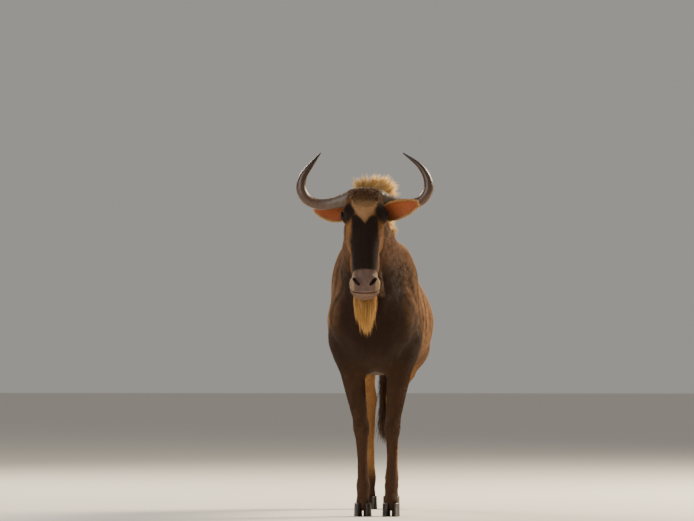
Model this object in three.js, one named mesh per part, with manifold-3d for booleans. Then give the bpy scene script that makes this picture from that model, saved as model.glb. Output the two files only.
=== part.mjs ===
// A life-size standing wildebeest, head up and facing forward, as a still model in separate nodes.
// Millimetres, +Z up. The head is towards -Y and the animal's left side is +X. The feet stand on z = 0.
import * as THREE from "three";
import { mergeVertices } from "three/addons/utils/BufferGeometryUtils.js";
import Module from "manifold-3d";

const wasm = await Module();
wasm.setup();

// Driving dimensions of the whole animal
const withersHeight = 1320;
const brisketHeight = 655;
const bellyHeight = 640;
const croupHeight = 1142;
const bellyHalfWidth = 250;
const frontFootY = 0;
const hindFootY = 990;
const jointGap = 0.45;
const originShift = [21, -241, 0]; // from the front feet to the middle of the standing box

// Head: where it sits and how it is turned
const poll = [-21, -470, 1471];
const headPitch = 22;
const headYaw = 3;
const muzzleReach = 512;

// Horns, ears and eyes
const hornSides = 9;
const earLength = 202;
const earHalfWidth = 41;
const earThickness = 5;
const eyeRadius = 21;

// Hair: each lock is a flat blade that bends over and tapers to a tip
const maneLength = 118;
const maneStations = 11;
const beardLength = 195;
const fringeLength = 120;
const tuftLength = 210;
const tuftEndHeight = 300;
const lockSegments = 4;
const lockSink = 16;
const drawSeed = 11;

// Small vector helpers on [x, y, z] lists
const add = (a, b, k = 1) => [a[0] + b[0] * k, a[1] + b[1] * k, a[2] + b[2] * k];
const sub = (a, b) => [a[0] - b[0], a[1] - b[1], a[2] - b[2]];
const dot = (a, b) => a[0] * b[0] + a[1] * b[1] + a[2] * b[2];
const cross = (a, b) => [
  a[1] * b[2] - a[2] * b[1],
  a[2] * b[0] - a[0] * b[2],
  a[0] * b[1] - a[1] * b[0],
];
const unit = (a) => a.map((v) => v / Math.hypot(...a));
const mix = (a, b, t) => a + (b - a) * t;
const mixPoint = (a, b, t) => a.map((v, i) => mix(v, b[i], t));
const radians = (degrees) => (degrees * Math.PI) / 180;
const clamp = (v, low, high) => Math.min(high, Math.max(low, v));
const mirrored = (p, side) => [p[0] * side, p[1], p[2]];

// A seeded draw, so that the locks vary in the same way each time
let drawState = drawSeed;
function draw(low, high) {
  drawState = (drawState * 1103515245 + 12345) % 2147483648;
  return mix(low, high, drawState / 2147483648);
}

// A smooth curve of named sizes: stations are objects that share the key they are laid out along
function stationAt(stations, key, at) {
  const last = stations.length - 1;
  let i = 0;
  while (i < last - 1 && at > stations[i + 1][key]) i++;
  const a = stations[i];
  const b = stations[i + 1];
  const before = stations[Math.max(i - 1, 0)];
  const after = stations[Math.min(i + 2, last)];
  const span = b[key] - a[key];
  const t = clamp((at - a[key]) / span, 0, 1);
  const found = {};
  for (const name of Object.keys(a)) {
    const slopeA = ((b[name] - before[name]) / (b[key] - before[key])) * span;
    const slopeB = ((after[name] - a[name]) / (after[key] - a[key])) * span;
    const t2 = t * t;
    const t3 = t2 * t;
    found[name] =
      (2 * t3 - 3 * t2 + 1) * a[name] +
      (t3 - 2 * t2 + t) * slopeA +
      (3 * t2 - 2 * t3) * b[name] +
      (t3 - t2) * slopeB;
  }
  found.past = Math.max(stations[0][key] - at, at - stations[last][key], 0);
  return found;
}

// Fields: each is below zero inside the flesh, above zero outside, and about a distance in mm
const power = (v, n) => Math.pow(Math.abs(v), n);

// A chain of balls joined by cones; flat narrows it sideways
function chain(points, flat = 1) {
  const links = points.slice(1).map((b, i) => {
    const a = points[i];
    const d = [(b[0] - a[0]) / flat, b[1] - a[1], b[2] - a[2]];
    return { a, d, size: dot(d, d), ra: a[3], rb: b[3] };
  });
  return (p) => {
    let best = Infinity;
    for (const { a, d, size, ra, rb } of links) {
      const q = [(p[0] - a[0]) / flat, p[1] - a[1], p[2] - a[2]];
      const t = clamp(dot(q, d) / size, 0, 1);
      const away = Math.hypot(q[0] - d[0] * t, q[1] - d[1] * t, q[2] - d[2] * t);
      best = Math.min(best, (away - mix(ra, rb, t)) * Math.min(flat, 1));
    }
    return best;
  };
}

// An ellipsoid, tilted about the sideways axis
function egg(middle, radii, tilt = 0) {
  const c = Math.cos(radians(tilt));
  const s = Math.sin(radians(tilt));
  return (p) => {
    const q = sub(p, middle);
    const r = [q[0], q[1] * c + q[2] * s, q[2] * c - q[1] * s];
    const n = r.map((v, i) => v / radii[i]);
    const k = Math.hypot(...n);
    const g = Math.hypot(n[0] / radii[0], n[1] / radii[1], n[2] / radii[2]);
    return g < 1e-9 ? -Math.min(...radii) : (k * (k - 1)) / g;
  };
}

// Joins fields with a fillet of about the given size
function blend(size, ...fields) {
  return (p) => {
    let d = fields[0](p);
    for (let i = 1; i < fields.length; i++) {
      const e = fields[i](p);
      const h = Math.max(size - Math.abs(d - e), 0) / size;
      d = Math.min(d, e) - (h * h * size) / 4;
    }
    return d;
  };
}

// The trunk, from the breast to the buttocks: widest is the share of the height at the widest place
const trunkStations = [
  { y: -250, top: 1000, bottom: 880, half: 30, widest: 0.5 },
  { y: -215, top: 1130, bottom: 790, half: 105, widest: 0.48 },
  { y: -140, top: 1225, bottom: 705, half: 158, widest: 0.46 },
  { y: -50, top: 1290, bottom: 665, half: 184, widest: 0.44 },
  { y: 50, top: withersHeight - 3, bottom: brisketHeight, half: 198, widest: 0.43 },
  { y: 140, top: withersHeight, bottom: brisketHeight - 4, half: 208, widest: 0.43 },
  { y: 250, top: 1278, bottom: bellyHeight + 5, half: 226, widest: 0.44 },
  { y: 370, top: 1236, bottom: bellyHeight, half: 242, widest: 0.45 },
  { y: 490, top: 1204, bottom: bellyHeight + 4, half: bellyHalfWidth, widest: 0.46 },
  { y: 620, top: 1180, bottom: 662, half: 243, widest: 0.47 },
  { y: 750, top: 1160, bottom: 700, half: 218, widest: 0.5 },
  { y: 870, top: croupHeight, bottom: 750, half: 185, widest: 0.54 },
  { y: 975, top: 1112, bottom: 805, half: 148, widest: 0.56 },
  { y: 1045, top: 1070, bottom: 862, half: 108, widest: 0.55 },
  { y: 1095, top: 1010, bottom: 920, half: 52, widest: 0.5 },
];

function trunk(p) {
  const s = stationAt(trunkStations, "y", p[1]);
  const middle = mix(s.bottom, s.top, s.widest);
  const high = p[2] > middle;
  const tall = high ? s.top - middle : middle - s.bottom;
  const n = high ? 1.6 : 2.25;
  const r = Math.pow(power(p[0] / s.half, n) + power((p[2] - middle) / tall, n), 1 / n);
  const size = Math.min(s.half, tall);
  return Math.max((r - 1) * size, s.past ? s.past + (r - 1) * size * 0.3 : -Infinity);
}

const neckChain = chain(
  [
    [0, -20, 1085, 218],
    [-3, -150, 1140, 188],
    [-10, -270, 1215, 160],
    [-18, -370, 1300, 134],
    [-21, -430, 1370, 112],
  ],
  0.8,
);
const breast = egg([0, -178, 905], [118, 88, 165], 12);

// Shoulder and thigh muscles, one set for each side
const shoulder = (side) =>
  blend(
    40,
    egg(mirrored([118, 0, 1040], side), [70, 118, 205], 22),
    egg(mirrored([118, -105, 920], side), [84, 88, 112], 10),
    egg(mirrored([142, 60, 870], side), [66, 112, 145], 0),
  );
const thigh = (side) =>
  blend(
    50,
    egg(mirrored([100, 895, 935], side), [92, 160, 198], -14),
    egg(mirrored([126, 812, 790], side), [72, 95, 112], 20),
  );

// Each leg is a chain of balls from the body down to the coronet. Feet are placed as the photo shows them.
function frontLegPoints(side, kneeX, footX) {
  return [
    [122 * side, 50, 800, 80],
    [mix(kneeX, 122 * side, 0.78), 22, 690, 67],
    [mix(kneeX, 122 * side, 0.45), 4, 570, 50],
    [mix(kneeX, 122 * side, 0.12), -2, 455, 38],
    [kneeX, -8, 404, 41],
    [mix(footX, kneeX, 0.85), -1, 358, 32],
    [mix(footX, kneeX, 0.5), 2, 265, 26.5],
    [mix(footX, kneeX, 0.15), 2, 180, 29],
    [footX, -1, 140, 36],
    [footX, -20, 97, 31],
    [footX, -34, 66, 35],
    [footX, -36, 44, 30],
  ];
}

function hindLegPoints(side, hockX, footX) {
  return [
    [108 * side, 875, 870, 112],
    [mix(hockX, 132 * side, 0.85), 835, 775, 96],
    [mix(hockX, 132 * side, 0.5), 902, 672, 74],
    [mix(hockX, 132 * side, 0.15), 978, 580, 44],
    [hockX, 1016, 522, 44],
    [mix(footX, hockX, 0.9), 1020, 455, 36],
    [mix(footX, hockX, 0.5), 1012, 325, 29],
    [mix(footX, hockX, 0.15), 1002, 200, 31],
    [footX, 996, 148, 37],
    [footX, 976, 100, 32],
    [footX, 960, 66, 36],
    [footX, 958, 44, 30],
  ];
}

const legs = [
  { name: "leg_front_left", side: 1, front: true, jointX: 80, footX: 76 },
  { name: "leg_front_right", side: -1, front: true, jointX: -62, footX: -54 },
  { name: "leg_hind_left", side: 1, front: false, jointX: 38, footX: 28 },
  { name: "leg_hind_right", side: -1, front: false, jointX: -84, footX: -80 },
];
for (const leg of legs) {
  const points = leg.front ? frontLegPoints : hindLegPoints;
  leg.points = points(leg.side, leg.jointX, leg.footX);
  const extra = leg.front
    ? chain([
        [leg.jointX, -26, 408, 24],
        [leg.jointX, -24, 385, 22],
      ])
    : chain([
        [leg.jointX, 1000, 640, 24],
        [leg.jointX, 1058, 566, 17],
        [leg.jointX, 1048, 500, 20],
      ]);
  const dewclaws = [-1, 1].map((s) =>
    egg([leg.footX + s * 17, (leg.front ? frontFootY : hindFootY + 6) + 34, 118], [11, 10, 19], 20),
  );
  leg.field = blend(14, blend(26, chain(leg.points, 0.94), extra), ...dewclaws);
}

const upperBody = blend(
  55,
  trunk,
  neckChain,
  breast,
  shoulder(1),
  shoulder(-1),
  thigh(1),
  thigh(-1),
);

// The head's own frame: along runs down the face from the poll, ahead points out of the face
const yawed = (v) => {
  const c = Math.cos(radians(headYaw));
  const s = Math.sin(radians(headYaw));
  return [v[0] * c - v[1] * s, v[0] * s + v[1] * c, v[2]];
};
const across = yawed([1, 0, 0]);
const along = yawed([0, -Math.sin(radians(headPitch)), -Math.cos(radians(headPitch))]);
const ahead = yawed([0, -Math.cos(radians(headPitch)), Math.sin(radians(headPitch))]);
const onHead = (x, s, f) => add(add(add(poll, across, x), along, s), ahead, f);
const inHead = (p) => {
  const q = sub(p, poll);
  return [dot(q, across), dot(q, along), dot(q, ahead)];
};

// front and back are the depths of the face and the jaw from the head's middle line, half the half width
const headStations = [
  { s: -6, front: 16, back: 40, half: 36 },
  { s: 6, front: 42, back: 66, half: 62 },
  { s: 36, front: 66, back: 86, half: 82 },
  { s: 75, front: 78, back: 98, half: 86 },
  { s: 125, front: 82, back: 108, half: 86 },
  { s: 185, front: 79, back: 110, half: 78 },
  { s: 245, front: 75, back: 92, half: 68 },
  { s: 310, front: 69, back: 72, half: 61 },
  { s: 375, front: 61, back: 60, half: 57 },
  { s: 425, front: 57, back: 56, half: 60 },
  { s: 465, front: 51, back: 54, half: 60 },
  { s: 495, front: 34, back: 42, half: 48 },
  { s: muzzleReach, front: 10, back: 16, half: 20 },
];
const inHeadFrame = (field) => (p) => field(inHead(p));

function skull(q) {
  const s = stationAt(headStations, "s", q[1]);
  const n = 2.5;
  const deep = q[2] > 0 ? s.front : s.back;
  const r = Math.pow(power(q[0] / s.half, n) + power(q[2] / deep, n), 1 / n);
  const size = Math.min(s.half, s.front, s.back);
  return Math.max((r - 1) * size, s.past ? s.past + (r - 1) * size * 0.3 : -Infinity);
}

// Bumps of the head, as [across, along, ahead] in the head's frame
const bothSides = (middle, radii, tilt = 0) => [
  egg(middle, radii, tilt),
  egg([-middle[0], middle[1], middle[2]], radii, tilt),
];
const headForm = blend(
  16,
  skull,
  ...bothSides([76, 122, 22], [27, 36, 32]),
  ...bothSides([56, 195, -48], [30, 78, 52]),
  ...bothSides([42, 448, 26], [28, 32, 28]),
  ...bothSides([34, 474, -4], [26, 18, 24]),
  ...bothSides([58, 34, 8], [28, 28, 32]),
  egg([0, 34, 34], [58, 36, 38]),
  egg([0, 478, -28], [42, 26, 26]),
);
const headField = inHeadFrame(headForm);
const flesh = blend(45, upperBody, headField);

// Face details
const lidLong = 21;
const lidShort = 13;
const lidThick = 5.5;
const nostrilAt = [36, 448, 54];
const nostrilRadii = [12, 17, 17];
const mouthLine = [
  [512, 46],
  [492, 26],
  [472, 6],
  [448, -10],
  [416, -22],
];
const mouthOpening = 3.6;
const mouthDepth = 6;

// Finds how far a field reaches from a point in one direction
function reachOf(field, from, direction, most) {
  const step = 4;
  let r = 1;
  while (r < most && field(add(from, direction, r)) < 0) r += step;
  let low = Math.max(r - step, 0);
  let high = Math.min(r, most);
  if (r >= most) return most;
  for (let i = 0; i < 10; i++) {
    const middle = (low + high) / 2;
    if (field(add(from, direction, middle)) < 0) low = middle;
    else high = middle;
  }
  return (low + high) / 2;
}

// A closed solid from a vertex list and a triangle list, turned so that its faces point outwards
function solidOf(vertices, triangles) {
  const volume = triangles.reduce(
    (sum, [a, b, c]) => sum + dot(vertices[a], cross(vertices[b], vertices[c])),
    0,
  );
  if (volume < 0) triangles = triangles.map(([a, b, c]) => [a, c, b]);
  let geometry = new THREE.BufferGeometry();
  geometry.setAttribute("position", new THREE.Float32BufferAttribute(vertices.flat(), 3));
  geometry.setIndex(triangles.flat());
  geometry = mergeVertices(geometry, 1e-4);
  const mesh = new wasm.Mesh({
    numProp: 3,
    vertProperties: geometry.attributes.position.array,
    triVerts: new Uint32Array(geometry.index.array),
  });
  return new wasm.Manifold(mesh);
}

// Rings of points, joined in a row and closed by a fan at each end
function ringSolid(rings, startPoint, endPoint) {
  const sides = rings[0].length;
  const vertices = rings.flat();
  const triangles = [];
  for (let i = 0; i + 1 < rings.length; i++) {
    for (let j = 0; j < sides; j++) {
      const a = i * sides + j;
      const b = i * sides + ((j + 1) % sides);
      const c = a + sides;
      const d = b + sides;
      triangles.push([a, b, d], [a, d, c]);
    }
  }
  const start = vertices.push(startPoint) - 1;
  const end = vertices.push(endPoint) - 1;
  const top = (rings.length - 1) * sides;
  for (let j = 0; j < sides; j++) {
    const k = (j + 1) % sides;
    triangles.push([start, k, j], [end, top + j, top + k]);
  }
  return solidOf(vertices, triangles);
}

// Wraps a field in rings about a line: each ring has a middle, an axis along the line and a sideways axis
function wrap(field, rings, sides, grow = 0, most = 420) {
  const last = rings.length - 1;
  const ends = [
    add(rings[0].middle, rings[0].axis, -grow),
    add(rings[last].middle, rings[last].axis, grow),
  ];
  const made = rings.map((ring, i) => {
    const side = unit(ring.side || [1, 0, 0]);
    const other = unit(cross(ring.axis, side));
    const across = cross(other, ring.axis);
    const start = i === 0 ? ends[0] : i === last ? ends[1] : ring.middle;
    return Array.from({ length: sides }, (_, j) => {
      const turn = (2 * Math.PI * (j + 0.5)) / sides;
      const way = unit(add(add([0, 0, 0], across, Math.cos(turn)), other, Math.sin(turn)));
      const reach = reachOf(field, ring.middle, way, ring.most || most);
      return add(start, way, reach + grow);
    });
  });
  return ringSolid(made, ...ends);
}

// Rings spread along a list of points, in even steps or at the shares given
function ringsAlong(points, count, side = [1, 0, 0]) {
  const curve = new THREE.CatmullRomCurve3(points.map((p) => new THREE.Vector3(p[0], p[1], p[2])));
  return Array.from({ length: count }, (_, i) => {
    const t = i / (count - 1);
    return { middle: curve.getPointAt(t).toArray(), axis: curve.getTangentAt(t).toArray(), side };
  });
}

// Rings joined in a closed loop
function loopSolid(rings) {
  const sides = rings[0].length;
  const triangles = [];
  for (let i = 0; i < rings.length; i++) {
    for (let j = 0; j < sides; j++) {
      const a = i * sides + j;
      const b = i * sides + ((j + 1) % sides);
      const c = ((i + 1) % rings.length) * sides + j;
      const d = ((i + 1) % rings.length) * sides + ((j + 1) % sides);
      triangles.push([a, b, d], [a, d, c]);
    }
  }
  return solidOf(rings.flat(), triangles);
}

// The largest closed surface of a solid, so that scraps and sealed hollows are dropped
function largest(solid) {
  return solid.decompose().reduce((a, b) => (b.volume() > a.volume() ? b : a));
}

const torsoEndZ = 965;

// One lock: it leaves the root along start, bends towards end and lies flat across the face direction
function lock({ root, start, end, face, length, width, thick }) {
  const rings = [];
  let at = add(root, start, -lockSink);
  let tip = at;
  for (let i = 0; i <= lockSegments; i++) {
    const t = i / lockSegments;
    const way = unit(mixPoint(start, end, Math.pow(t, 0.8)));
    const side = unit(cross(way, face));
    const out = cross(side, way);
    if (i > 0) at = add(at, way, (length + lockSink) / lockSegments);
    tip = at;
    if (i === lockSegments) break;
    const half = (width / 2) * mix(0.8, 1, Math.sin(Math.PI * Math.min(t * 1.6, 1))) * (1 - t ** 3);
    const high = thick * mix(1, 0.55, t);
    rings.push([add(at, side, half), add(at, out, high), add(at, side, -half)]);
  }
  return ringSolid(rings, rings[0].reduce((a, p) => add(a, p, 1 / 3), [0, 0, 0]), tip);
}

const fuse = (solids) => wasm.Manifold.union(solids);

// Torso: rings lean with the base of the neck at the front and stand upright behind the shoulder
const neckLean = 32;
const torsoLine = [
  { y: -138, z: 1128, lean: neckLean },
  { y: -112, z: 1075, lean: 29 },
  { y: -86, z: 1030, lean: 25 },
  { y: -58, z: 1000, lean: 20 },
  { y: -24, z: 985, lean: 14 },
  { y: 20, z: 975, lean: 7 },
  { y: 70, z: 970, lean: 0 },
  { y: 620, z: 955, lean: 0 },
  { y: 880, z: 955, lean: 0 },
  { y: 1085, z: torsoEndZ, lean: 0 },
];
const torsoFrontRings = torsoLine.slice(0, 6);
const torsoSteps = 15;
const torsoEndY = [1030, 1060, 1083, 1099, 1110];

function torsoRing(y, z, lean) {
  const axis = [0, Math.cos(radians(lean)), -Math.sin(radians(lean))];
  return { middle: [0, y, z], axis };
}

function torsoRings() {
  const rings = torsoFrontRings.map((r) => torsoRing(r.y, r.z, r.lean));
  for (let i = 0; i <= torsoSteps; i++) {
    const y = mix(70, 1000, i / torsoSteps);
    rings.push(torsoRing(y, stationAt(torsoLine, "y", y).z, 0));
  }
  for (const y of torsoEndY) rings.push(torsoRing(y, torsoEndZ, 0));
  return rings;
}

const torsoSides = 28;
const torsoSolid = wrap(upperBody, torsoRings(), torsoSides);
const torsoGrown = wrap(upperBody, torsoRings(), torsoSides, jointGap);

// Neck: from the torso's front face up to the back of the head
const neckAxis = [0, -Math.cos(radians(neckLean)), Math.sin(radians(neckLean))];
const neckStart = add([0, torsoLine[0].y, torsoLine[0].z], neckAxis, jointGap);
const neckRings = [
  { middle: neckStart, axis: neckAxis },
  { middle: [0, -170, 1158], axis: unit([0, -1, 0.68]) },
  { middle: [0, -205, 1186], axis: unit([0, -1, 0.74]) },
  { middle: [0, -240, 1213], axis: unit([0, -1, 0.78]) },
  { middle: [0, -275, 1241], axis: unit([0, -1, 0.8]) },
  { middle: [0, -308, 1268], axis: unit([0, -1, 0.78]) },
  { middle: [0, -340, 1294], axis: unit([0, -1, 0.72]) },
  { middle: [0, -370, 1318], axis: unit([0, -1, 0.6]) },
  { middle: [0, -400, 1340], axis: unit([0, -1, 0.46]) },
  { middle: [0, -432, 1358], axis: unit([0, -1, 0.34]) },
  { middle: [0, -465, 1370], axis: unit([0, -1, 0.25]), most: 90 },
];
const neckSides = 24;

// Head: rings down the face
const headRingAt = [
  -4, 2, 12, 28, 44, 58, 74, 92, 108, 122, 136, 152, 172, 196, 222, 250, 280, 310, 340, 368, 392,
  412, 428, 442, 456, 469, 480, 489, 497, 504,
];
const headRings = headRingAt.map((s) => ({ middle: onHead(0, s, -6), axis: along, side: across }));
const headSides = 24;
const headSolid = wrap(headField, headRings, headSides);
const headGrown = wrap(headField, headRings, headSides, jointGap);

// Horn: out from the boss, down a little, then round, up and in
// Points are across, ahead and up from the poll
const hornTipX = { left: 172, right: 200 };
const hornLine = [
  [18, 2, -10, 38],
  [58, -2, -17, 37],
  [110, -10, -32, 30],
  [165, -20, -45, 25],
  [220, -22, -44, 24],
  [266, -18, -20, 24],
  [288, -16, 26, 22.5],
  [279, -18, 80, 18],
  [243, -22, 132, 12],
  [186, -28, 186, 3],
];

function hornSolid(side, grow = 0) {
  const line = hornLine.map((row) => [...row]);
  line[line.length - 1][0] = side > 0 ? hornTipX.left : hornTipX.right;
  const points = line.map(([x, f, u]) => add(add(poll, yawed([x * side, -f, 0])), [0, 0, u]));
  const rings = ringsAlong(points, 22, [0, -1, 0]);
  const made = rings.map((ring, i) => {
    const at = (i / (rings.length - 1)) * (hornLine.length - 1);
    const k = Math.min(Math.floor(at), hornLine.length - 2);
    const radius = mix(hornLine[k][3], hornLine[k + 1][3], at - k) + grow;
    const ridge = at < 4.5 ? 1 + 0.035 * Math.cos(i * Math.PI) : 1;
    const other = unit(cross(ring.axis, unit(ring.side)));
    const level = cross(other, ring.axis);
    return Array.from({ length: hornSides }, (_, j) => {
      const turn = (2 * Math.PI * j) / hornSides;
      const a = add(ring.middle, level, Math.cos(turn) * radius * ridge);
      return add(a, other, Math.sin(turn) * radius * ridge);
    });
  });
  return ringSolid(made, points[0], points[points.length - 1]);
}

// Ear: a cupped leaf with its edges rolled forward, on a round stalk
const ears = [
  { name: "ear_left", side: 1, lift: 15, swing: 24 },
  { name: "ear_right", side: -1, lift: 8, swing: -38 },
];

function earSolid({ side, lift, swing }, grow = 0) {
  const steps = 9;
  const strips = 6;
  const base = onHead(side * 66, 78, -56);
  const out = yawed([
    side * Math.cos(radians(lift)) * Math.cos(radians(swing)),
    -Math.cos(radians(lift)) * Math.sin(radians(swing)),
    Math.sin(radians(lift)),
  ]);
  const face = unit(sub(yawed([side * 0.15, -1, -0.08]), out.map((v) => v * dot(out, [0, -1, 0]))));
  const up = unit(cross(out, face)).map((v) => v * side);
  const front = [];
  const back = [];
  for (let i = 0; i <= steps; i++) {
    const t = i / steps;
    const leaf = Math.pow(Math.sin(Math.PI * Math.min(0.16 + 0.84 * t, 0.985)), 0.62);
    const half = (earHalfWidth + grow) * leaf;
    const roll = mix(0.95, 0.32, Math.pow(t, 0.7));
    for (let j = 0; j <= strips; j++) {
      const u = (j / strips) * 2 - 1;
      const bend = u * roll * 1.35;
      const spread = (Math.sin(bend) / Math.sin(roll * 1.35)) * half;
      const depth = ((1 - Math.cos(bend)) * half) / roll + 10 * t * t;
      const p = add(add(add(base, out, earLength * t), up, spread), face, depth);
      const thin = earThickness * mix(1.3, 0.6, t) * (1 - 0.45 * u * u);
      front.push(add(p, face, grow));
      back.push(add(p, face, -thin - grow));
    }
  }
  const width = strips + 1;
  const count = front.length;
  const triangles = [];
  const quad = (a, b, c, d) => triangles.push([a, b, c], [a, c, d]);
  for (let i = 0; i < steps; i++) {
    for (let j = 0; j < strips; j++) {
      const a = i * width + j;
      quad(a, a + width, a + width + 1, a + 1);
      quad(a + count, a + count + 1, a + count + width + 1, a + count + width);
    }
    const low = i * width;
    const high = low + strips;
    quad(low, low + count, low + width + count, low + width);
    quad(high, high + width, high + width + count, high + count);
  }
  for (let j = 0; j < strips; j++) {
    const end = steps * width + j;
    quad(j, j + 1, j + 1 + count, j + count);
    quad(end, end + count, end + 1 + count, end + 1);
  }
  const solid = solidOf([...front, ...back], triangles);
  const stalk = wrap(
    chain([
      [...add(base, out, -14), 28],
      [...add(base, out, 22), 23],
    ]),
    [-40, -22, 0, 22, 42].map((k) => ({ middle: add(base, out, k), axis: out, side: up })),
    8,
    grow,
  );
  return solid.add(stalk);
}

// Eye and the cuts of the head
function ball(middle, radius) {
  const geometry = new THREE.SphereGeometry(radius, 12, 8);
  geometry.deleteAttribute("normal");
  geometry.deleteAttribute("uv");
  const merged = mergeVertices(geometry, 1e-3);
  merged.rotateX(Math.PI / 2);
  merged.translate(...middle);
  const mesh = new wasm.Mesh({
    numProp: 3,
    vertProperties: merged.attributes.position.array,
    triVerts: new Uint32Array(merged.index.array),
  });
  return new wasm.Manifold(mesh);
}

const eyeAt = (side) => onHead(side * 88, 122, 30);

// Lids: a thick rim round each eye, drawn out to its two corners
function lidSolid(side) {
  const out = unit(add(add([0, 0, 0], across, side), ahead, 0.42));
  const long = unit(add(add([0, 0, 0], along, 0.75), ahead, -0.25));
  const length = unit(sub(long, out.map((v) => v * dot(long, out))));
  const high = cross(out, length);
  const count = 12;
  const rings = Array.from({ length: count }, (_, i) => {
    const a = (2 * Math.PI * i) / count;
    const spoke = unit(add(length.map((v) => v * Math.cos(a) * lidLong), high, Math.sin(a) * lidShort));
    const at = add(add(eyeAt(side), length, Math.cos(a) * lidLong), high, Math.sin(a) * lidShort);
    const middle = add(at, out, 13 - 4 * Math.cos(a) ** 2);
    return Array.from({ length: 5 }, (_, j) => {
      const turn = (2 * Math.PI * j) / 5;
      return add(add(middle, spoke, Math.cos(turn) * lidThick), out, Math.sin(turn) * lidThick);
    });
  });
  return loopSolid(rings);
}

// Nostrils: comma-shaped hollows on the front corners of the muzzle
function nostrilCut(side) {
  const middle = [nostrilAt[0] * side, nostrilAt[1], nostrilAt[2]];
  const field = inHeadFrame(egg(middle, nostrilRadii, 35));
  const steps = [-14, -8, 0, 8, 14];
  const rings = steps.map((k) => ({
    middle: onHead(middle[0], middle[1] + k, middle[2]),
    axis: along,
    side: across,
  }));
  return wrap(field, rings, 8, 0, 40);
}

// Mouth: a groove of even depth between the lips
function mouthCut() {
  const rings = mouthLine.map(([s, f], i) => {
    const [s2, f2] = mouthLine[Math.min(i + 1, mouthLine.length - 1)];
    const [s1, f1] = mouthLine[Math.max(i - 1, 0)];
    const run = unit([s2 - s1, f2 - f1, 0]);
    const half = mouthOpening / 2;
    return [
      onHead(-110, s - run[1] * half, f + run[0] * half),
      onHead(110, s - run[1] * half, f + run[0] * half),
      onHead(110, s + run[1] * half, f - run[0] * half),
      onHead(-110, s + run[1] * half, f - run[0] * half),
    ];
  });
  const middles = mouthLine.map(([s, f]) => onHead(0, s, f));
  const plate = ringSolid(rings, middles[0], middles[middles.length - 1]);
  return plate.subtract(wrap(headField, headRings, headSides, -mouthDepth));
}

// Hoof: two digits a foot, each a wedge with a sole flat on the ground
const hoofHeight = 62;
const hoofGap = 5;

const hoofLevels = [
  { z: 0, grow: 14 },
  { z: 14, grow: 8 },
  { z: 42, grow: -4 },
  { z: hoofHeight, grow: -12 },
];

function hoofSolid(footX, coronetY, side) {
  const inner = hoofGap / 2;
  const halfWidth = 19;
  const count = 10;
  const rings = hoofLevels.map(({ z, grow }) =>
    Array.from({ length: count }, (_, i) => {
      const turn = (2 * Math.PI * i) / count;
      const long = Math.cos(turn);
      const length = long > 0 ? 50 : 52 + grow;
      const width = halfWidth * (1 - 0.42 * Math.max(0, -long) ** 3);
      const x = footX + side * (inner + Math.max(0.001, halfWidth + Math.sin(turn) * width));
      const shrink = 1 - 0.1 * (z / hoofHeight);
      return [mix(footX + side * 21, x, shrink), coronetY + long * length - 4 - z * 0.07, z];
    }),
  );
  const middleOf = (ring) => ring.reduce((sum, p) => add(sum, p, 1 / ring.length), [0, 0, 0]);
  return ringSolid(rings, middleOf(rings[0]), middleOf(rings[rings.length - 1]));
}

// Tail dock
const tailLine = [
  [0, 1020, 1062, 34],
  [0, 1095, 1046, 27],
  [0, 1136, 985, 21],
  [0, 1148, 900, 17],
  [0, 1146, 810, 14],
  [0, 1140, 720, 11],
];
const tailField = chain(tailLine);

// Middle line of the neck, from which the roots of the hair are found
const neckAxisPoints = [
  { y: -470, x: -21, z: 1375 },
  { y: -400, x: -19, z: 1340 },
  { y: -270, x: -10, z: 1235 },
  { y: -150, x: -3, z: 1150 },
  { y: -20, x: 0, z: 1090 },
  { y: 120, x: 0, z: 1050 },
];

// A place on the skin, found from the neck's middle line; turn 0 is the crest and 180 the throat
function onNeck(y, turn) {
  const axis = stationAt(neckAxisPoints, "y", y);
  const from = [axis.x, y, axis.z];
  const a = radians(turn);
  const rise = unit([0, 0.5, 1]);
  const fall = unit([0, -0.6, -1]);
  const high = turn < 90 && turn > -90;
  const stand = high ? rise : fall;
  const way = unit(add([Math.sin(a), 0, 0], stand, Math.abs(Math.cos(a))));
  return { point: add(from, way, reachOf(flesh, from, way, 420)), way };
}

// Mane: rows of locks on each side of the crest, that stand behind the horns and lean over further back
function maneLocks(fromY, toY, count) {
  const locks = [];
  for (let i = 0; i < count; i++) {
    for (const row of [-1.5, -0.5, 0.5, 1.5]) {
      const t = (i + (Math.abs(row) > 1 ? 0.5 : 0)) / count;
      const y = mix(fromY, toY, t);
      const { point } = onNeck(y, row * 9 + draw(-2, 2));
      const lean = row * 0.46 + 0.12 + draw(-0.1, 0.1);
      const start = unit([lean, draw(-0.1, 0.15), 1]);
      const end = unit([lean * mix(1.7, 2.6, t), mix(0.15, 1.1, t), mix(0.62, -0.2, t)]);
      const face = unit([Math.sign(row) * mix(0.45, 1, t), mix(-1, -0.25, t) + draw(-0.2, 0.2), 0.2]);
      const length = maneLength * mix(1, 0.66, t ** 1.5) * draw(0.85, 1.05);
      locks.push(lock({ root: point, start, end, face, length, width: draw(46, 60), thick: 8 }));
    }
  }
  return locks;
}
const maneCoreRadius = 30;
const maneCore = chain([
  [-19, -446, 1442, maneCoreRadius],
  [-10, -400, 1440, maneCoreRadius + 10],
  [-4, -300, 1410, maneCoreRadius + 10],
  [0, -170, 1362, maneCoreRadius + 4],
  [0, -30, 1318, maneCoreRadius],
]);

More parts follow.
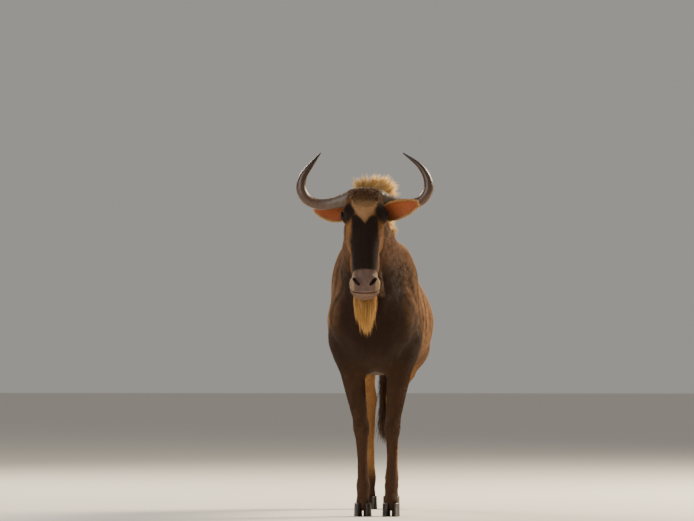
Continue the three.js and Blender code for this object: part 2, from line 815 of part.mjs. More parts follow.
// Throat: locks hang from the underside of the neck
function fringeLocks() {
  const locks = [];
  for (let i = 0; i < 5; i++) {
    for (const row of [-1, 0, 1]) {
      const y = mix(-395, -240, (i + 0.5 * Math.abs(row)) / 5);
      const { point } = onNeck(y, 180 - row * 13);
      const start = unit([row * 0.25 + draw(-0.1, 0.1), -0.35, -1]);
      const end = unit([draw(-0.12, 0.12) - row * 0.15, draw(-0.05, 0.25), -1]);
      const face = unit([row === 0 ? draw(-1, 1) : row, -0.8, 0]);
      const length = fringeLength * draw(0.75, 1.1);
      locks.push(lock({ root: point, start, end, face, length, width: draw(34, 46), thick: 7 }));
    }
  }
  return locks;
}

// Beard: locks hang from under the jaw and draw together to a point
function beardLocks() {
  const locks = [];
  for (let i = 0; i < 6; i++) {
    for (const row of [-1, 0, 1]) {
      const t = i / 5;
      const s = mix(290, 466, t) + draw(-4, 4);
      const x = row * mix(30, 40, t);
      const from = onHead(x, s, 0);
      const back = ahead.map((v) => -v);
      const root = add(from, back, reachOf(headField, from, back, 140));
      const start = unit([row * 0.2, 0.25, -1]);
      const inward = -row * 0.26 + 0.05;
      const end = unit([inward + draw(-0.06, 0.06), -0.1 + draw(-0.06, 0.1), -1]);
      const face = unit([row * 0.8, t > 0.6 ? -1 : -0.3, 0]);
      const full = mix(0.62, 1, Math.sin(Math.PI * Math.min(1, t * 0.75)));
      const length = beardLength * full * draw(0.85, 1.08) * mix(1.12, 0.9, Math.abs(row));
      locks.push(lock({ root, start, end, face, length, width: draw(44, 56), thick: 8 }));
    }
  }
  return locks;
}

// Tuft: locks in steps down the end of the tail
function tuftLocks() {
  const locks = [];
  for (let i = 0; i < 4; i++) {
    for (let j = 0; j < 3; j++) {
      const turn = (2 * Math.PI * (j + 0.5 * (i % 2) + draw(-0.1, 0.1))) / 3;
      const z = mix(765, 540, i / 3);
      const way = [Math.cos(turn), Math.sin(turn), 0];
      const root = [way[0] * 6, mix(1146, 1137, i / 3) + way[1] * 6, z];
      const start = unit(add([0, 0, -1], way, 0.42));
      const end = unit(add([0, -0.04, -1], way, draw(-0.12, 0.04)));
      const length = Math.min(tuftLength * draw(0.9, 1.15), z - tuftEndHeight);
      locks.push(lock({ root, start, end, face: way, length, width: draw(36, 46), thick: 8 }));
    }
  }
  return locks;
}

const tuftCore = chain([
  [0, 1146, 770, 13],
  [0, 1140, 640, 22],
  [0, 1136, 520, 18],
  [0, 1132, 430, 6],
]);

const nodes = [];
const addNode = (name, solid, finish) => nodes.push({ name, solid: largest(solid), finish });

const eyes = [1, -1].map((side) => ({ side, solid: ball(eyeAt(side), eyeRadius) }));
let head = fuse([headSolid, lidSolid(1), lidSolid(-1)]);
head = head.subtract(mouthCut()).subtract(nostrilCut(1)).subtract(nostrilCut(-1));
for (const { side } of eyes) head = head.subtract(ball(eyeAt(side), eyeRadius + jointGap));
const neckGrown = wrap(flesh, neckRings, neckSides, jointGap);
addNode("head", head.add(fuse(beardLocks()).subtract(neckGrown)), "coat");
for (const { side, solid } of eyes) addNode(side > 0 ? "eye_left" : "eye_right", solid, "eye");

const horns = [1, -1].map((side) => hornSolid(side).subtract(headGrown));
addNode("horn_left", horns[0], "horn");
addNode("horn_right", horns[1], "horn");

const maneCoreLine = [
  [-19, -470, 1440],
  [-10, -400, 1440],
  [0, -170, 1362],
  [0, -20, 1315],
];
const maneCoreSolid = wrap(maneCore, ringsAlong(maneCoreLine, 12), 10);
const neckHair = fuse([...maneLocks(-458, -30, maneStations), ...fringeLocks()]);
let neck = wrap(flesh, neckRings, neckSides).add(maneCoreSolid).add(neckHair);
neck = neck.subtract(headGrown).subtract(torsoGrown);
for (const side of [1, -1]) neck = neck.subtract(hornSolid(side, jointGap));

const hornsGrown = [1, -1].map((side) => hornSolid(side, jointGap));
for (const ear of ears) {
  let solid = earSolid(ear).subtract(headGrown);
  for (const horn of hornsGrown) solid = solid.subtract(horn);
  addNode(ear.name, solid, "ear");
  neck = neck.subtract(earSolid(ear, jointGap * 3));
}
addNode("neck", neck, "coat");

addNode("torso", torsoSolid, "coat");

for (const leg of legs) {
  const rings = ringsAlong(leg.points.map((p) => p.slice(0, 3)), 22);
  for (const ring of rings) ring.axis = unit(add(ring.axis, [0, 0, -1], 1.6));
  let solid = wrap(blend(60, upperBody, leg.field), rings, 11, 0, 135).subtract(torsoGrown);
  solid = solid.trimByPlane([leg.side, 0, 0], jointGap);
  const coronetY = leg.points[leg.points.length - 2][1];
  for (const side of [-1, 1]) {
    const hoof = hoofSolid(leg.footX, coronetY, side);
    const label = (side > 0 ? "left" : "right") + "_toe";
    addNode(leg.name.replace("leg", "hoof") + "_" + label, hoof, "hoof");
    solid = solid.subtract(hoof);
  }
  addNode(leg.name, solid, "coat");
}

const tail = wrap(tailField, ringsAlong(tailLine.map((p) => p.slice(0, 3)), 12), 10);
const tuftRings = ringsAlong([[0, 1146, 780], [0, 1140, 640], [0, 1132, 428]], 6);
const tuft = wrap(tuftCore, tuftRings, 8).add(fuse(tuftLocks()));
addNode("tail", tail.add(tuft).subtract(torsoGrown), "coat");

// Materials by finish, in the photo's colours
const finishes = {
  coat: { color: 0x5a3a24, roughness: 0.85 },
  ear: { color: 0x6b4128, roughness: 0.85 },
  horn: { color: 0x5d4a3b, roughness: 0.5 },
  hoof: { color: 0x2c2622, roughness: 0.5 },
  eye: { color: 0x1a0f08, roughness: 0.1 },
};

const wildebeest = new THREE.Group();
wildebeest.position.set(...originShift);
for (const { name, solid, finish } of nodes) {
  const { vertProperties, triVerts } = solid.getMesh();
  const geometry = new THREE.BufferGeometry();
  geometry.setAttribute("position", new THREE.BufferAttribute(new Float32Array(vertProperties), 3));
  geometry.setIndex(new THREE.BufferAttribute(new Uint32Array(triVerts), 1));
  geometry.computeVertexNormals();
  const material = new THREE.MeshStandardMaterial({ metalness: 0, ...finishes[finish] });
  const mesh = new THREE.Mesh(geometry, material);
  mesh.name = name;
  wildebeest.add(mesh);
}

export default wildebeest;
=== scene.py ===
import math
import bpy
import bmesh
import numpy as np
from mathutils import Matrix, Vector


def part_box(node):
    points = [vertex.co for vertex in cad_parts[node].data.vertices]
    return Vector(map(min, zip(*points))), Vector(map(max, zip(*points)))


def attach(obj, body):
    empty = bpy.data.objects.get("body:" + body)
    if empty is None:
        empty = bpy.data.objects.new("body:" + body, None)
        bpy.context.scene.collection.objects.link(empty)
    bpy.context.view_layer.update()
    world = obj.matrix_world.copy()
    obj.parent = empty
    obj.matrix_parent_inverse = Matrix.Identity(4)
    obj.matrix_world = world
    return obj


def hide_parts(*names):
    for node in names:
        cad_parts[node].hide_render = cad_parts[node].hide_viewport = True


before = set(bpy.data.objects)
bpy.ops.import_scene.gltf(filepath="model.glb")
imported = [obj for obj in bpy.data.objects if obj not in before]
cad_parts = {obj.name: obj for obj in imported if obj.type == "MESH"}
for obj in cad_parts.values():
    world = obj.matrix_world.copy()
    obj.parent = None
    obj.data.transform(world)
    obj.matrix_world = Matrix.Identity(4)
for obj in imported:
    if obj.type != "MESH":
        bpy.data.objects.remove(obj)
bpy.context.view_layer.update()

# A standing wildebeest. Shapes are worked out in millimetres from between the front feet,
# then moved into the frame in metres.

headPlace = {
    "poll": (-21, -470, 1471),
    "pitch": 22,
    "yaw": 3,
    "eye": (84, 122, 30),
    "eyeRadius": 21,
    "eyeInSolids": (88, 122, 30),
}


def asVector(values):
    return np.array(values, dtype=float)


def unit(v):
    return v / np.linalg.norm(v, axis=-1, keepdims=True)


def mix(a, b, t):
    return a + (b - a) * t


def ramp(v, low, high):
    t = np.clip((v - low) / (high - low), 0, 1)
    return t * t * (3 - 2 * t)


def swell(v, middle, width):
    return np.exp(-(((v - middle) / width) ** 2))


def columns(*parts):
    return np.stack(np.broadcast_arrays(*parts), -1)


outer = np.multiply.outer
pitch, yaw = math.radians(headPlace["pitch"]), math.radians(headPlace["yaw"])
turnHead = np.array([[math.cos(yaw), -math.sin(yaw), 0], [math.sin(yaw), math.cos(yaw), 0], [0, 0, 1]])
across = turnHead @ asVector([1, 0, 0])
along = turnHead @ asVector([0, -math.sin(pitch), -math.cos(pitch)])
ahead = turnHead @ asVector([0, -math.cos(pitch), math.sin(pitch)])
poll = asVector(headPlace["poll"])


def onHead(x, s, f):
    return poll + outer(x, across) + outer(s, along) + outer(f, ahead)


def inHead(p):
    q = p - poll
    return columns(q @ across, q @ along, q @ ahead)


def eyeSpot(side):
    x, s, f = headPlace["eye"]
    return onHead(x * side, s, f)


def eyeDistance(p):
    return np.minimum(*(np.linalg.norm(p - eyeSpot(side), axis=1) for side in (1, -1)))


# The solids' left eye tells where the design lies in the frame
eyeBox = [asVector(corner) * 1000 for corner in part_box("eye_left")]
shift = (eyeBox[0] + eyeBox[1]) / 2 - onHead(*headPlace["eyeInSolids"])


def placed(points):
    return (np.asarray(points) + shift) * 0.001


# Smooth values between stations, and how far a place lies beyond the ends
def stationAt(stations, at):
    keys = stations[:, 0]
    i = np.clip(np.searchsorted(keys, at, side="right") - 1, 0, len(keys) - 2)
    a, b = stations[i], stations[i + 1]
    before, after = stations[np.maximum(i - 1, 0)], stations[np.minimum(i + 2, len(keys) - 1)]
    span = b[:, :1] - a[:, :1]
    t = np.clip((at[:, None] - a[:, :1]) / span, 0, 1)
    slopeA = (b - before) / (b[:, :1] - before[:, :1]) * span
    slopeB = (after - a) / (after[:, :1] - a[:, :1]) * span
    found = (2 * t**3 - 3 * t**2 + 1) * a + (t**3 - 2 * t**2 + t) * slopeA
    found = found + (3 * t**2 - 2 * t**3) * b + (t**3 - t**2) * slopeB
    past = np.maximum(np.maximum(keys[0] - at, at - keys[-1]), 0)
    return found, past


def chain(points, flat=1.0):
    points = [asVector(p) for p in points]
    low = min(flat, 1)

    def field(p):
        best = np.full(len(p), np.inf)
        for a, b in zip(points, points[1:]):
            d = (b - a)[:3] / [flat, 1, 1]
            q = (p - a[:3]) / [flat, 1, 1]
            t = np.clip(q @ d / (d @ d), 0, 1)
            away = np.linalg.norm(q - t[:, None] * d, axis=1)
            best = np.minimum(best, (away - mix(a[3], b[3], t)) * low)
        return best

    return field


def egg(middle, radii, tilt=0):
    c, s = math.cos(math.radians(tilt)), math.sin(math.radians(tilt))
    turn = np.array([[1, 0, 0], [0, c, s], [0, -s, c]])
    radii = asVector(radii)

    def field(p):
        n = ((p - asVector(middle)) @ turn.T) / radii
        k = np.linalg.norm(n, axis=1)
        g = np.linalg.norm(n / radii, axis=1)
        return np.where(g < 1e-9, -radii.min(), k * (k - 1) / np.maximum(g, 1e-9))

    return field


def smoothMin(d, e, size):
    h = np.maximum(size - np.abs(d - e), 0) / size
    return np.minimum(d, e) - h * h * size / 4


def blend(size, *fields):
    def field(p):
        d = fields[0](p)
        for other in fields[1:]:
            d = smoothMin(d, other(p), size)
        return d

    return field


# Body: y, top, bottom, half width and the height of the widest place, from the breast to the buttocks
trunkStations = asVector([
    [-250, 1000, 880, 30, 0.5],
    [-215, 1130, 790, 105, 0.48],
    [-140, 1225, 705, 158, 0.46],
    [-50, 1290, 665, 184, 0.44],
    [50, 1317, 655, 198, 0.43],
    [140, 1320, 651, 208, 0.43],
    [250, 1278, 645, 226, 0.44],
    [370, 1236, 640, 242, 0.45],
    [490, 1204, 644, 250, 0.46],
    [620, 1180, 662, 243, 0.47],
    [750, 1160, 700, 218, 0.5],
    [870, 1142, 750, 185, 0.54],
    [975, 1112, 805, 148, 0.56],
    [1045, 1070, 862, 108, 0.55],
    [1095, 1010, 920, 52, 0.5],
])


def trunk(p):
    s, past = stationAt(trunkStations, p[:, 1])
    top, bottom, half, widest = s[:, 1], s[:, 2], s[:, 3], s[:, 4]
    middle = mix(bottom, top, widest)
    high = p[:, 2] > middle
    tall = np.where(high, top - middle, middle - bottom)
    n = np.where(high, 1.6, 2.25)
    r = (np.abs(p[:, 0] / half) ** n + np.abs((p[:, 2] - middle) / tall) ** n) ** (1 / n)
    size = np.minimum(half, tall)
    inside = (r - 1) * size
    return np.where(past > 0, np.maximum(inside, past + inside * 0.3), inside)


neckPoints = [
    (0, -20, 1085, 218), (-3, -150, 1140, 188), (-10, -270, 1215, 160), (-18, -370, 1300, 134),
    (-21, -430, 1370, 112),
]


def shoulder(side):
    return blend(
        40,
        egg((118 * side, 0, 1040), (70, 118, 205), 22),
        egg((118 * side, -105, 920), (84, 88, 112), 10),
        egg((142 * side, 60, 870), (66, 112, 145)),
    )


def thigh(side):
    return blend(
        50, egg((100 * side, 895, 935), (92, 160, 198), -14),
        egg((126 * side, 812, 790), (72, 95, 112), 20),
    )


def foreleg(side, knee, foot):
    return [
        (122 * side, 50, 800, 80), (mix(knee, 122 * side, 0.78), 22, 690, 67),
        (mix(knee, 122 * side, 0.45), 4, 570, 50),
        (mix(knee, 122 * side, 0.12), -2, 455, 38), (knee, -8, 404, 41),
        (mix(foot, knee, 0.85), -1, 358, 32),
        (mix(foot, knee, 0.5), 2, 265, 26.5), (mix(foot, knee, 0.15), 2, 180, 29), (foot, -1, 140, 36),
        (foot, -20, 97, 31), (foot, -34, 66, 35), (foot, -36, 44, 30),
    ]


def hindleg(side, hock, foot):
    return [
        (108 * side, 875, 870, 112), (mix(hock, 132 * side, 0.85), 835, 775, 96),
        (mix(hock, 132 * side, 0.5), 902, 672, 74),
        (mix(hock, 132 * side, 0.15), 978, 580, 44), (hock, 1016, 522, 44),
        (mix(foot, hock, 0.9), 1020, 455, 36),
        (mix(foot, hock, 0.5), 1012, 325, 29), (mix(foot, hock, 0.15), 1002, 200, 31), (foot, 996, 148, 37),
        (foot, 976, 100, 32), (foot, 960, 66, 36), (foot, 958, 44, 30),
    ]


legs = {
    "leg_front_left": {"points": foreleg(1, 80, 76), "front": True, "foot": 76},
    "leg_front_right": {"points": foreleg(-1, -62, -54), "front": True, "foot": -54},
    "leg_hind_left": {"points": hindleg(1, 38, 28), "front": False, "foot": 28},
    "leg_hind_right": {"points": hindleg(-1, -84, -80), "front": False, "foot": -80},
}
legDetail = {
    "claw": (11, 11, 17), "clawApart": 16, "clawHeight": 116, "clawBehind": {True: 27, False: 1023},
    "furrowDepth": 2.4, "furrowWidth": 6, "furrowBehind": 9,
}


def legField(leg):
    knee = leg["points"][4][0]
    if leg["front"]:
        extra = chain([(knee, -26, 408, 24), (knee, -24, 385, 22)])
    else:
        extra = chain([(knee, 1000, 640, 24), (knee, 1058, 566, 17), (knee, 1048, 500, 20)])
    back = legDetail["clawBehind"][leg["front"]]
    apart, height = legDetail["clawApart"], legDetail["clawHeight"]
    claws = [egg((leg["foot"] + k * apart, back, height), legDetail["claw"], 15) for k in (-1, 1)]
    solid = blend(8, blend(26, chain(leg["points"], 0.94), extra), *claws)
    top, low = leg["points"][5], leg["points"][8]

    def field(p):
        # a shallow furrow on each side of the shank, between the bone and the tendons
        t = np.clip((top[2] - p[:, 2]) / (top[2] - low[2]), 0, 1)
        away = p[:, 1] - mix(top[1], low[1], t) - legDetail["furrowBehind"]
        furrow = legDetail["furrowDepth"] * swell(away, 0, legDetail["furrowWidth"])
        furrow = furrow * ramp(np.abs(p[:, 0] - mix(top[0], low[0], t)), 8, 18)
        return solid(p) + furrow * ramp(p[:, 2], 150, 190) * ramp(380 - p[:, 2], 0, 50)

    return field


# Head: distance from the poll, depth ahead, depth behind and half width
headStations = asVector([
    [-6, 16, 40, 36], [6, 42, 66, 62], [36, 66, 86, 82], [75, 78, 98, 86], [125, 82, 108, 86],
    [185, 79, 110, 78],
    [245, 75, 92, 68], [310, 69, 72, 61], [375, 61, 60, 57], [425, 57, 56, 60], [465, 51, 54, 60],
    [495, 34, 42, 48],
    [512, 10, 16, 20],
])


def skull(q):
    s, past = stationAt(headStations, q[:, 1])
    front, back, half = s[:, 1], s[:, 2], s[:, 3]
    deep = np.where(q[:, 2] > 0, front, back)
    r = (np.abs(q[:, 0] / half) ** 2.5 + np.abs(q[:, 2] / deep) ** 2.5) ** 0.4
    inside = (r - 1) * np.minimum(half, np.minimum(front, back))
    return np.where(past > 0, np.maximum(inside, past + inside * 0.3), inside)


def bothSides(middle, radii, tilt=0):
    return [egg((middle[0] * k, middle[1], middle[2]), radii, tilt) for k in (1, -1)]


headForm = blend(
    16,
    skull,
    *bothSides((76, 122, 22), (27, 36, 32)),
    *bothSides((56, 195, -48), (30, 78, 52)),
    *bothSides((42, 448, 26), (28, 32, 28)),
    *bothSides((34, 474, -4), (26, 18, 24)),
    *bothSides((58, 34, 8), (28, 28, 32)),
    *bothSides((70, 96, 34), (22, 30, 20), 20),
    *bothSides((44, 330, -30), (22, 60, 30)),
    egg((0, 34, 34), (58, 36, 38)),
    egg((0, 478, -28), (42, 26, 26)),
)

# Face details, in the head's own directions
faceDetail = {
    "mouth": [(512, 46), (492, 26), (472, 6), (448, -10), (416, -22)],
    "mouthDepth": 6.0,
    "mouthWidth": 2.0,
    "nostril": [(27, 462, 52, 3.5), (34, 455, 53, 5), (41, 446, 51, 6.5), (47, 438, 48, 5.5)],
    "lidLong": 18.5,
    "lidShort": 10.5,
    "lidThick": 2.6,
    "lidFolds": [(1.6, 2.5, 2.5), (0.9, 9, 1.6)],
    "lidPit": 3.5,
    "nostrilRim": 3.4,
    "lipHeight": 2.5,
}


def lineDistance(a, b, points):
    best = np.full(len(a), np.inf)
    for (a0, b0), (a1, b1) in zip(points, points[1:]):
        d = asVector([a1 - a0, b1 - b0])
        t = np.clip(((a - a0) * d[0] + (b - b0) * d[1]) / (d @ d), 0, 1)
        best = np.minimum(best, np.hypot(a - a0 - d[0] * t, b - b0 - d[1] * t))
    return best


def lidFrame(side):
    out = unit(across * side + ahead * 0.42)
    length = along * 0.8 + ahead * 0.14
    length = unit(length - out * (length @ out))
    return out, length, np.cross(out, length)


def lids(side):
    out, length, high = lidFrame(side)
    eye = eyeSpot(side)
    long, short = faceDetail["lidLong"], faceDetail["lidShort"]
    bow = (long * long + short * short) / (2 * short)

    def field(p):
        q = p - eye
        a, b, c = q @ length, q @ high, q @ out
        almond = np.maximum(np.hypot(a, b - (bow - short)), np.hypot(a, b + (bow - short))) - bow
        rim = sum(height * swell(almond, place, width) for height, place, width in faceDetail["lidFolds"])
        far = np.linalg.norm(q, axis=1) - headPlace["eyeRadius"]
        shell = far - faceDetail["lidThick"] - rim
        opening = np.maximum(np.maximum(almond, -c), -faceDetail["lidPit"] - far)
        return shell, opening

    return field


def nostrilHollow(q):
    return chain(faceDetail["nostril"])(columns(np.abs(q[:, 0]), q[:, 1], q[:, 2]))


def mouthGroove(q):
    return lineDistance(q[:, 1], q[:, 2], faceDetail["mouth"])


def faceField(p):
    q = inHead(p)
    d = headForm(q)
    for side in (1, -1):
        shell, opening = lids(side)(p)
        d = smoothMin(d, shell, 9)
        d = -smoothMin(-d, opening, 2)
    hollow = nostrilHollow(q)
    d = d - faceDetail["nostrilRim"] * swell(hollow, 5, 5)
    d = -smoothMin(-d, hollow, 4)
    groove = mouthGroove(q)
    d = d + faceDetail["mouthDepth"] * swell(groove, 0, faceDetail["mouthWidth"])
    lips = swell(groove, 9, 7) * ramp(q[:, 1], 400, 440)
    return d - faceDetail["lipHeight"] * lips


upperBody = blend(
    55, trunk, chain(neckPoints, 0.8), egg((0, -178, 905), (118, 88, 165), 12),
    shoulder(1), shoulder(-1), thigh(1), thigh(-1),
)
legFields = [legField(leg) for leg in legs.values()]
tailPoints = [
    (0, 1020, 1062, 34), (0, 1095, 1046, 27), (0, 1136, 985, 21), (0, 1148, 900, 17),
    (0, 1146, 810, 14), (0, 1140, 720, 11), (0, 1134, 560, 6),
]


def wholeField(p):
    d = upperBody(p)
    near = p[:, 1] < -250
    if near.any():
        part = p[near]
        d[near] = smoothMin(d[near], faceField(part), 45 * ramp(-part[:, 1], 380, 330) + 12)
    low = p[:, 2] < 1000
    if low.any():
        part = p[low]
        for field in legFields:
            d[low] = smoothMin(d[low], field(part), 60 * ramp(part[:, 2], 560, 700) + 6)
    back = p[:, 1] > 900
    if back.any():
        d[back] = smoothMin(d[back], chain(tailPoints)(p[back]), 22)
    return d


# The skin lies inside the solids by the depth of the coat
coatDepth = {"body": 5.0, "face": 1.6, "legs": 2.0}

unevenDepth = 7


def coatInset(p):
    face = ramp(-p[:, 1], 430, 520)
    leg = ramp(-p[:, 2], -700, -560)
    depth = mix(coatDepth["body"], coatDepth["face"], face) * ramp(eyeDistance(p), 26, 40)
    return mix(depth, coatDepth["legs"], leg)


def skinField(p):
    uneven = (softNoise(p * [1, 1, 0.6], 95) - 0.5) * unevenDepth
    uneven = uneven * ramp(-p[:, 1], -1200, 420) * ramp(p[:, 1], -430, -330)
    return wholeField(p) + coatInset(p) + uneven * ramp(p[:, 2], 640, 760)


def gradient(field, p, step=0.6):
    parts = []
    for k in range(3):
        e = np.zeros(3)
        e[k] = step
        parts.append((field(p + e) - field(p - e)) / (2 * step))
    return np.stack(parts, axis=-1)


# Points moved on to the field's surface, a few millimetres a round at most
def onSurface(field, p, rounds=3, most=6):
    for _ in range(rounds):
        g = gradient(field, p)
        p = p - np.clip(field(p) / np.maximum((g * g).sum(1), 0.05), -most, most)[:, None] * g
    return p


skinGrid = {"fine": 9.2, "coarse": 36.8, "low": (-312, -752, 20), "high": (312, 1200, 1560)}


def finer(grid, ratio):
    for axis in range(3):
        grid = np.repeat(grid, ratio, axis)
    return grid


# The field's values on a fine grid, worked out only near the surface
def sampleField(field, grid):
    low, high = asVector(grid["low"]), asVector(grid["high"])
    coarse, fine = grid["coarse"], grid["fine"]
    ratio = int(coarse / fine)
    blocks = np.ceil((high - low) / coarse).astype(int)
    lines = [low[k] + (np.arange(blocks[k]) + 0.5) * coarse for k in range(3)]
    centre = np.stack(np.meshgrid(*lines, indexing="ij"), -1)
    rough = field(centre.reshape(-1, 3)).reshape(blocks)
    values = finer(rough, ratio)
    mask = finer(np.abs(rough) < coarse * 1.6, ratio)
    axes = [low[k] + (np.arange(blocks[k] * ratio) + 0.5) * fine for k in range(3)]
    spots = np.argwhere(mask)
    values[mask] = field(np.stack([axes[k][spots[:, k]] for k in range(3)], -1))
    return values, axes


def cellCorner(grid, corner, shape):
    i, j, k = corner
    return grid[i:i + shape[0], j:j + shape[1], k:k + shape[2]]


# One point in each cell that the surface crosses, and a face round each grid edge that it cuts
def surfaceNet(values, axes):
    inside = values < 0
    shape = np.array(values.shape) - 1
    total = np.zeros(shape)
    spot = np.zeros((*shape, 3))
    for a in np.ndindex(2, 2, 2):
        for axis in range(3):
            if a[axis]:
                continue
            b = tuple(v + (n == axis) for n, v in enumerate(a))
            va, vb = cellCorner(values, a, shape), cellCorner(values, b, shape)
            cross = (va < 0) != (vb < 0)
            t = np.where(cross, va / np.where(cross, va - vb, 1), 0)
            total += cross
            for n in range(3):
                spot[..., n] += cross * (a[n] + (t if n == axis else 0))
    active = total > 0
    number = np.full(shape, -1)
    number[active] = np.arange(active.sum())
    cells = np.argwhere(active)
    step = axes[0][1] - axes[0][0]
    moved = cells + spot[active] / total[active][:, None]
    points = np.stack([axes[n][0] + moved[:, n] * step for n in range(3)], -1)
    quads = []
    for axis in range(3):
        u, v = (axis + 1) % 3, (axis + 2) % 3
        spots = np.argwhere(inside != np.roll(inside, -1, axis))
        others = spots[:, [u, v]]
        spots = spots[(spots[:, axis] < shape[axis]) & ((others > 0) & (others < shape[[u, v]])).all(1)]
        ring = []
        for du, dv in ((-1, -1), (0, -1), (0, 0), (-1, 0)):
            at = spots.copy()
            at[:, u] += du
            at[:, v] += dv
            ring.append(number[tuple(at.T)])
        ring = np.stack(ring, -1)
        inwards = ~inside[tuple(spots.T)]
        ring[inwards] = ring[inwards][:, ::-1]
        quads.append(ring)
    return points, np.concatenate(quads)


def meshFrom(name, points, faces, smooth=True):
    mesh = bpy.data.meshes.new(name)
    points, faces = np.asarray(points, dtype=np.float32), np.asarray(faces, dtype=np.int32)
    mesh.vertices.add(len(points))
    mesh.vertices.foreach_set("co", points.ravel())
    size = faces.shape[1]
    mesh.loops.add(faces.size)
    mesh.loops.foreach_set("vertex_index", faces.ravel())
    mesh.polygons.add(len(faces))
    mesh.polygons.foreach_set("loop_start", np.arange(0, faces.size, size, dtype=np.int32))
    mesh.polygons.foreach_set("use_smooth", np.full(len(faces), smooth))
    mesh.update(calc_edges=True)
    mesh.validate()
    obj = bpy.data.objects.new(name, mesh)
    bpy.context.scene.collection.objects.link(obj)
    return obj


def giveAttribute(mesh, name, kind, values):
    values = np.asarray(values, dtype=np.float32)
    if kind == "FLOAT_COLOR":
        values = np.concatenate([values, np.ones((len(values), 1), dtype=np.float32)], axis=1)
    field = {"FLOAT_COLOR": "color", "FLOAT_VECTOR": "vector", "FLOAT": "value"}[kind]
    mesh.attributes.new(name, kind, "POINT").data.foreach_set(field, values.ravel())


def linearColour(text):
    value = [int(text[i:i + 2], 16) / 255 for i in (1, 3, 5)]
    return asVector([v / 12.92 if v <= 0.04045 else ((v + 0.055) / 1.055) ** 2.4 for v in value])


# Soft three-dimensional noise of a given size in millimetres, the same each run
noiseTable = np.random.default_rng(5).random((64, 64, 64))


def softNoise(p, size):
    q = p / size
    base = np.floor(q).astype(int)
    t = q - base
    t = t * t * (3 - 2 * t)
    total = 0
    for corner in np.ndindex(2, 2, 2):
        weight = np.abs(1 - np.array(corner) - t)
        cell = (base + corner) % len(noiseTable)
        total = total + weight[:, 0] * weight[:, 1] * weight[:, 2] * noiseTable[tuple(cell.T)]
    return total


coatColours = {
    "flank": "#86613f",
    # back: a paler brown for the top of the body, painted light falling from above
    "back": "#8f6a45",
    "belly": "#4a3323",
    # chest: the dark brown of the chest, darkened further as painted shade of the front of the body
    "chest": "#2c1c13",
    "neck": "#5c3f29",
    "stripe": "#2d1d14",
    # legs: a dark brown, painted shade that makes the front legs darker than their own coat; it also
    # darkens the pasterns of all four legs
    "legs": "#3d291b",
    # sunlit hind legs: the ochre of the hind legs, brightened as painted sunlight
    "sunlitHindLegs": "#7a5733",
    "rump": "#7d5a39",
    "face": "#21150f",
    "brow": "#9b7652",
    "crown": "#5a3f2a",
    "cheek": "#7a5432",
    "muzzle": "#5e4a42",
    "muzzleSide": "#8f7960",
    "lip": "#735a4c",
    # inside: the dark skin inside the mouth line and the nostrils, darkened further as painted shade in
    # these hollows
    "inside": "#2e1e18",
    "lid": "#1c1310",
}
stripePlan = {"apart": 84, "waver": 2.2, "strength": 0.86}


def layered(base, coats):
    for name, amount in coats:
        base = base + (linearColour(coatColours[name]) - base) * np.clip(amount, 0, 1)[:, None]
    return base


def bodyColour(p, wobble, fine):
    x, y, z = p.T
    front = ramp(-y - np.abs(x) * 0.75 + wobble * 26, 10, 120)
    leg = ramp(-z, -760, -620)
    # dark stripes run down the neck, the shoulder and the ribs
    lean = y + (z - 950) * 0.16 + wobble * 22 + np.where(y < 0, (z - 1000) * 0.25, 0)
    wave = np.sin(lean * 2 * math.pi / stripePlan["apart"] + stripePlan["waver"] * softNoise(p, 240))
    where = ramp(z, 720, 840) * ramp(1265 - z, 0, 130) * ramp(620 - y, 0, 330) * ramp(y + 420, 0, 140)
    return layered(np.tile(linearColour(coatColours["flank"]), (len(p), 1)), [
        # painted light: the top of the back is painted paler
        ("back", ramp(z, 1080, 1220)),
        ("rump", ramp(y, 650, 950)),
        ("belly", ramp(-z, -830, -690) * ramp(1100 - y, 0, 300)),
        ("neck", ramp(-y, -10, 160) * ramp(z, 900, 1150)),
        # the front of the body and the lower front of the brisket take the chest colour: a dark chest,
        # darkened further as painted shade
        ("chest", front * ramp(1210 - z + wobble * 20, 0, 130)),
        ("chest", ramp(-z, -930, -800) * ramp(-y, -170, 40)),
        # painted shade over the shoulders, in the chest colour
        ("chest", ramp(170 - y, 0, 190) * ramp(1090 - z + wobble * 30, 0, 220) * 0.62),
        ("stripe", ramp(wave + fine * 0.35, 0.25, 0.8) * where * stripePlan["strength"]),
        # painted shade: the front legs are painted dark brown
        ("legs", leg * ramp(270 - y, 0, 140)),
        # the hind legs are painted a paler gold: their ochre coat with painted sunlight
        ("sunlitHindLegs", leg * ramp(y, 660, 800)),
        ("legs", ramp(-z, -230, -110)),
    ])


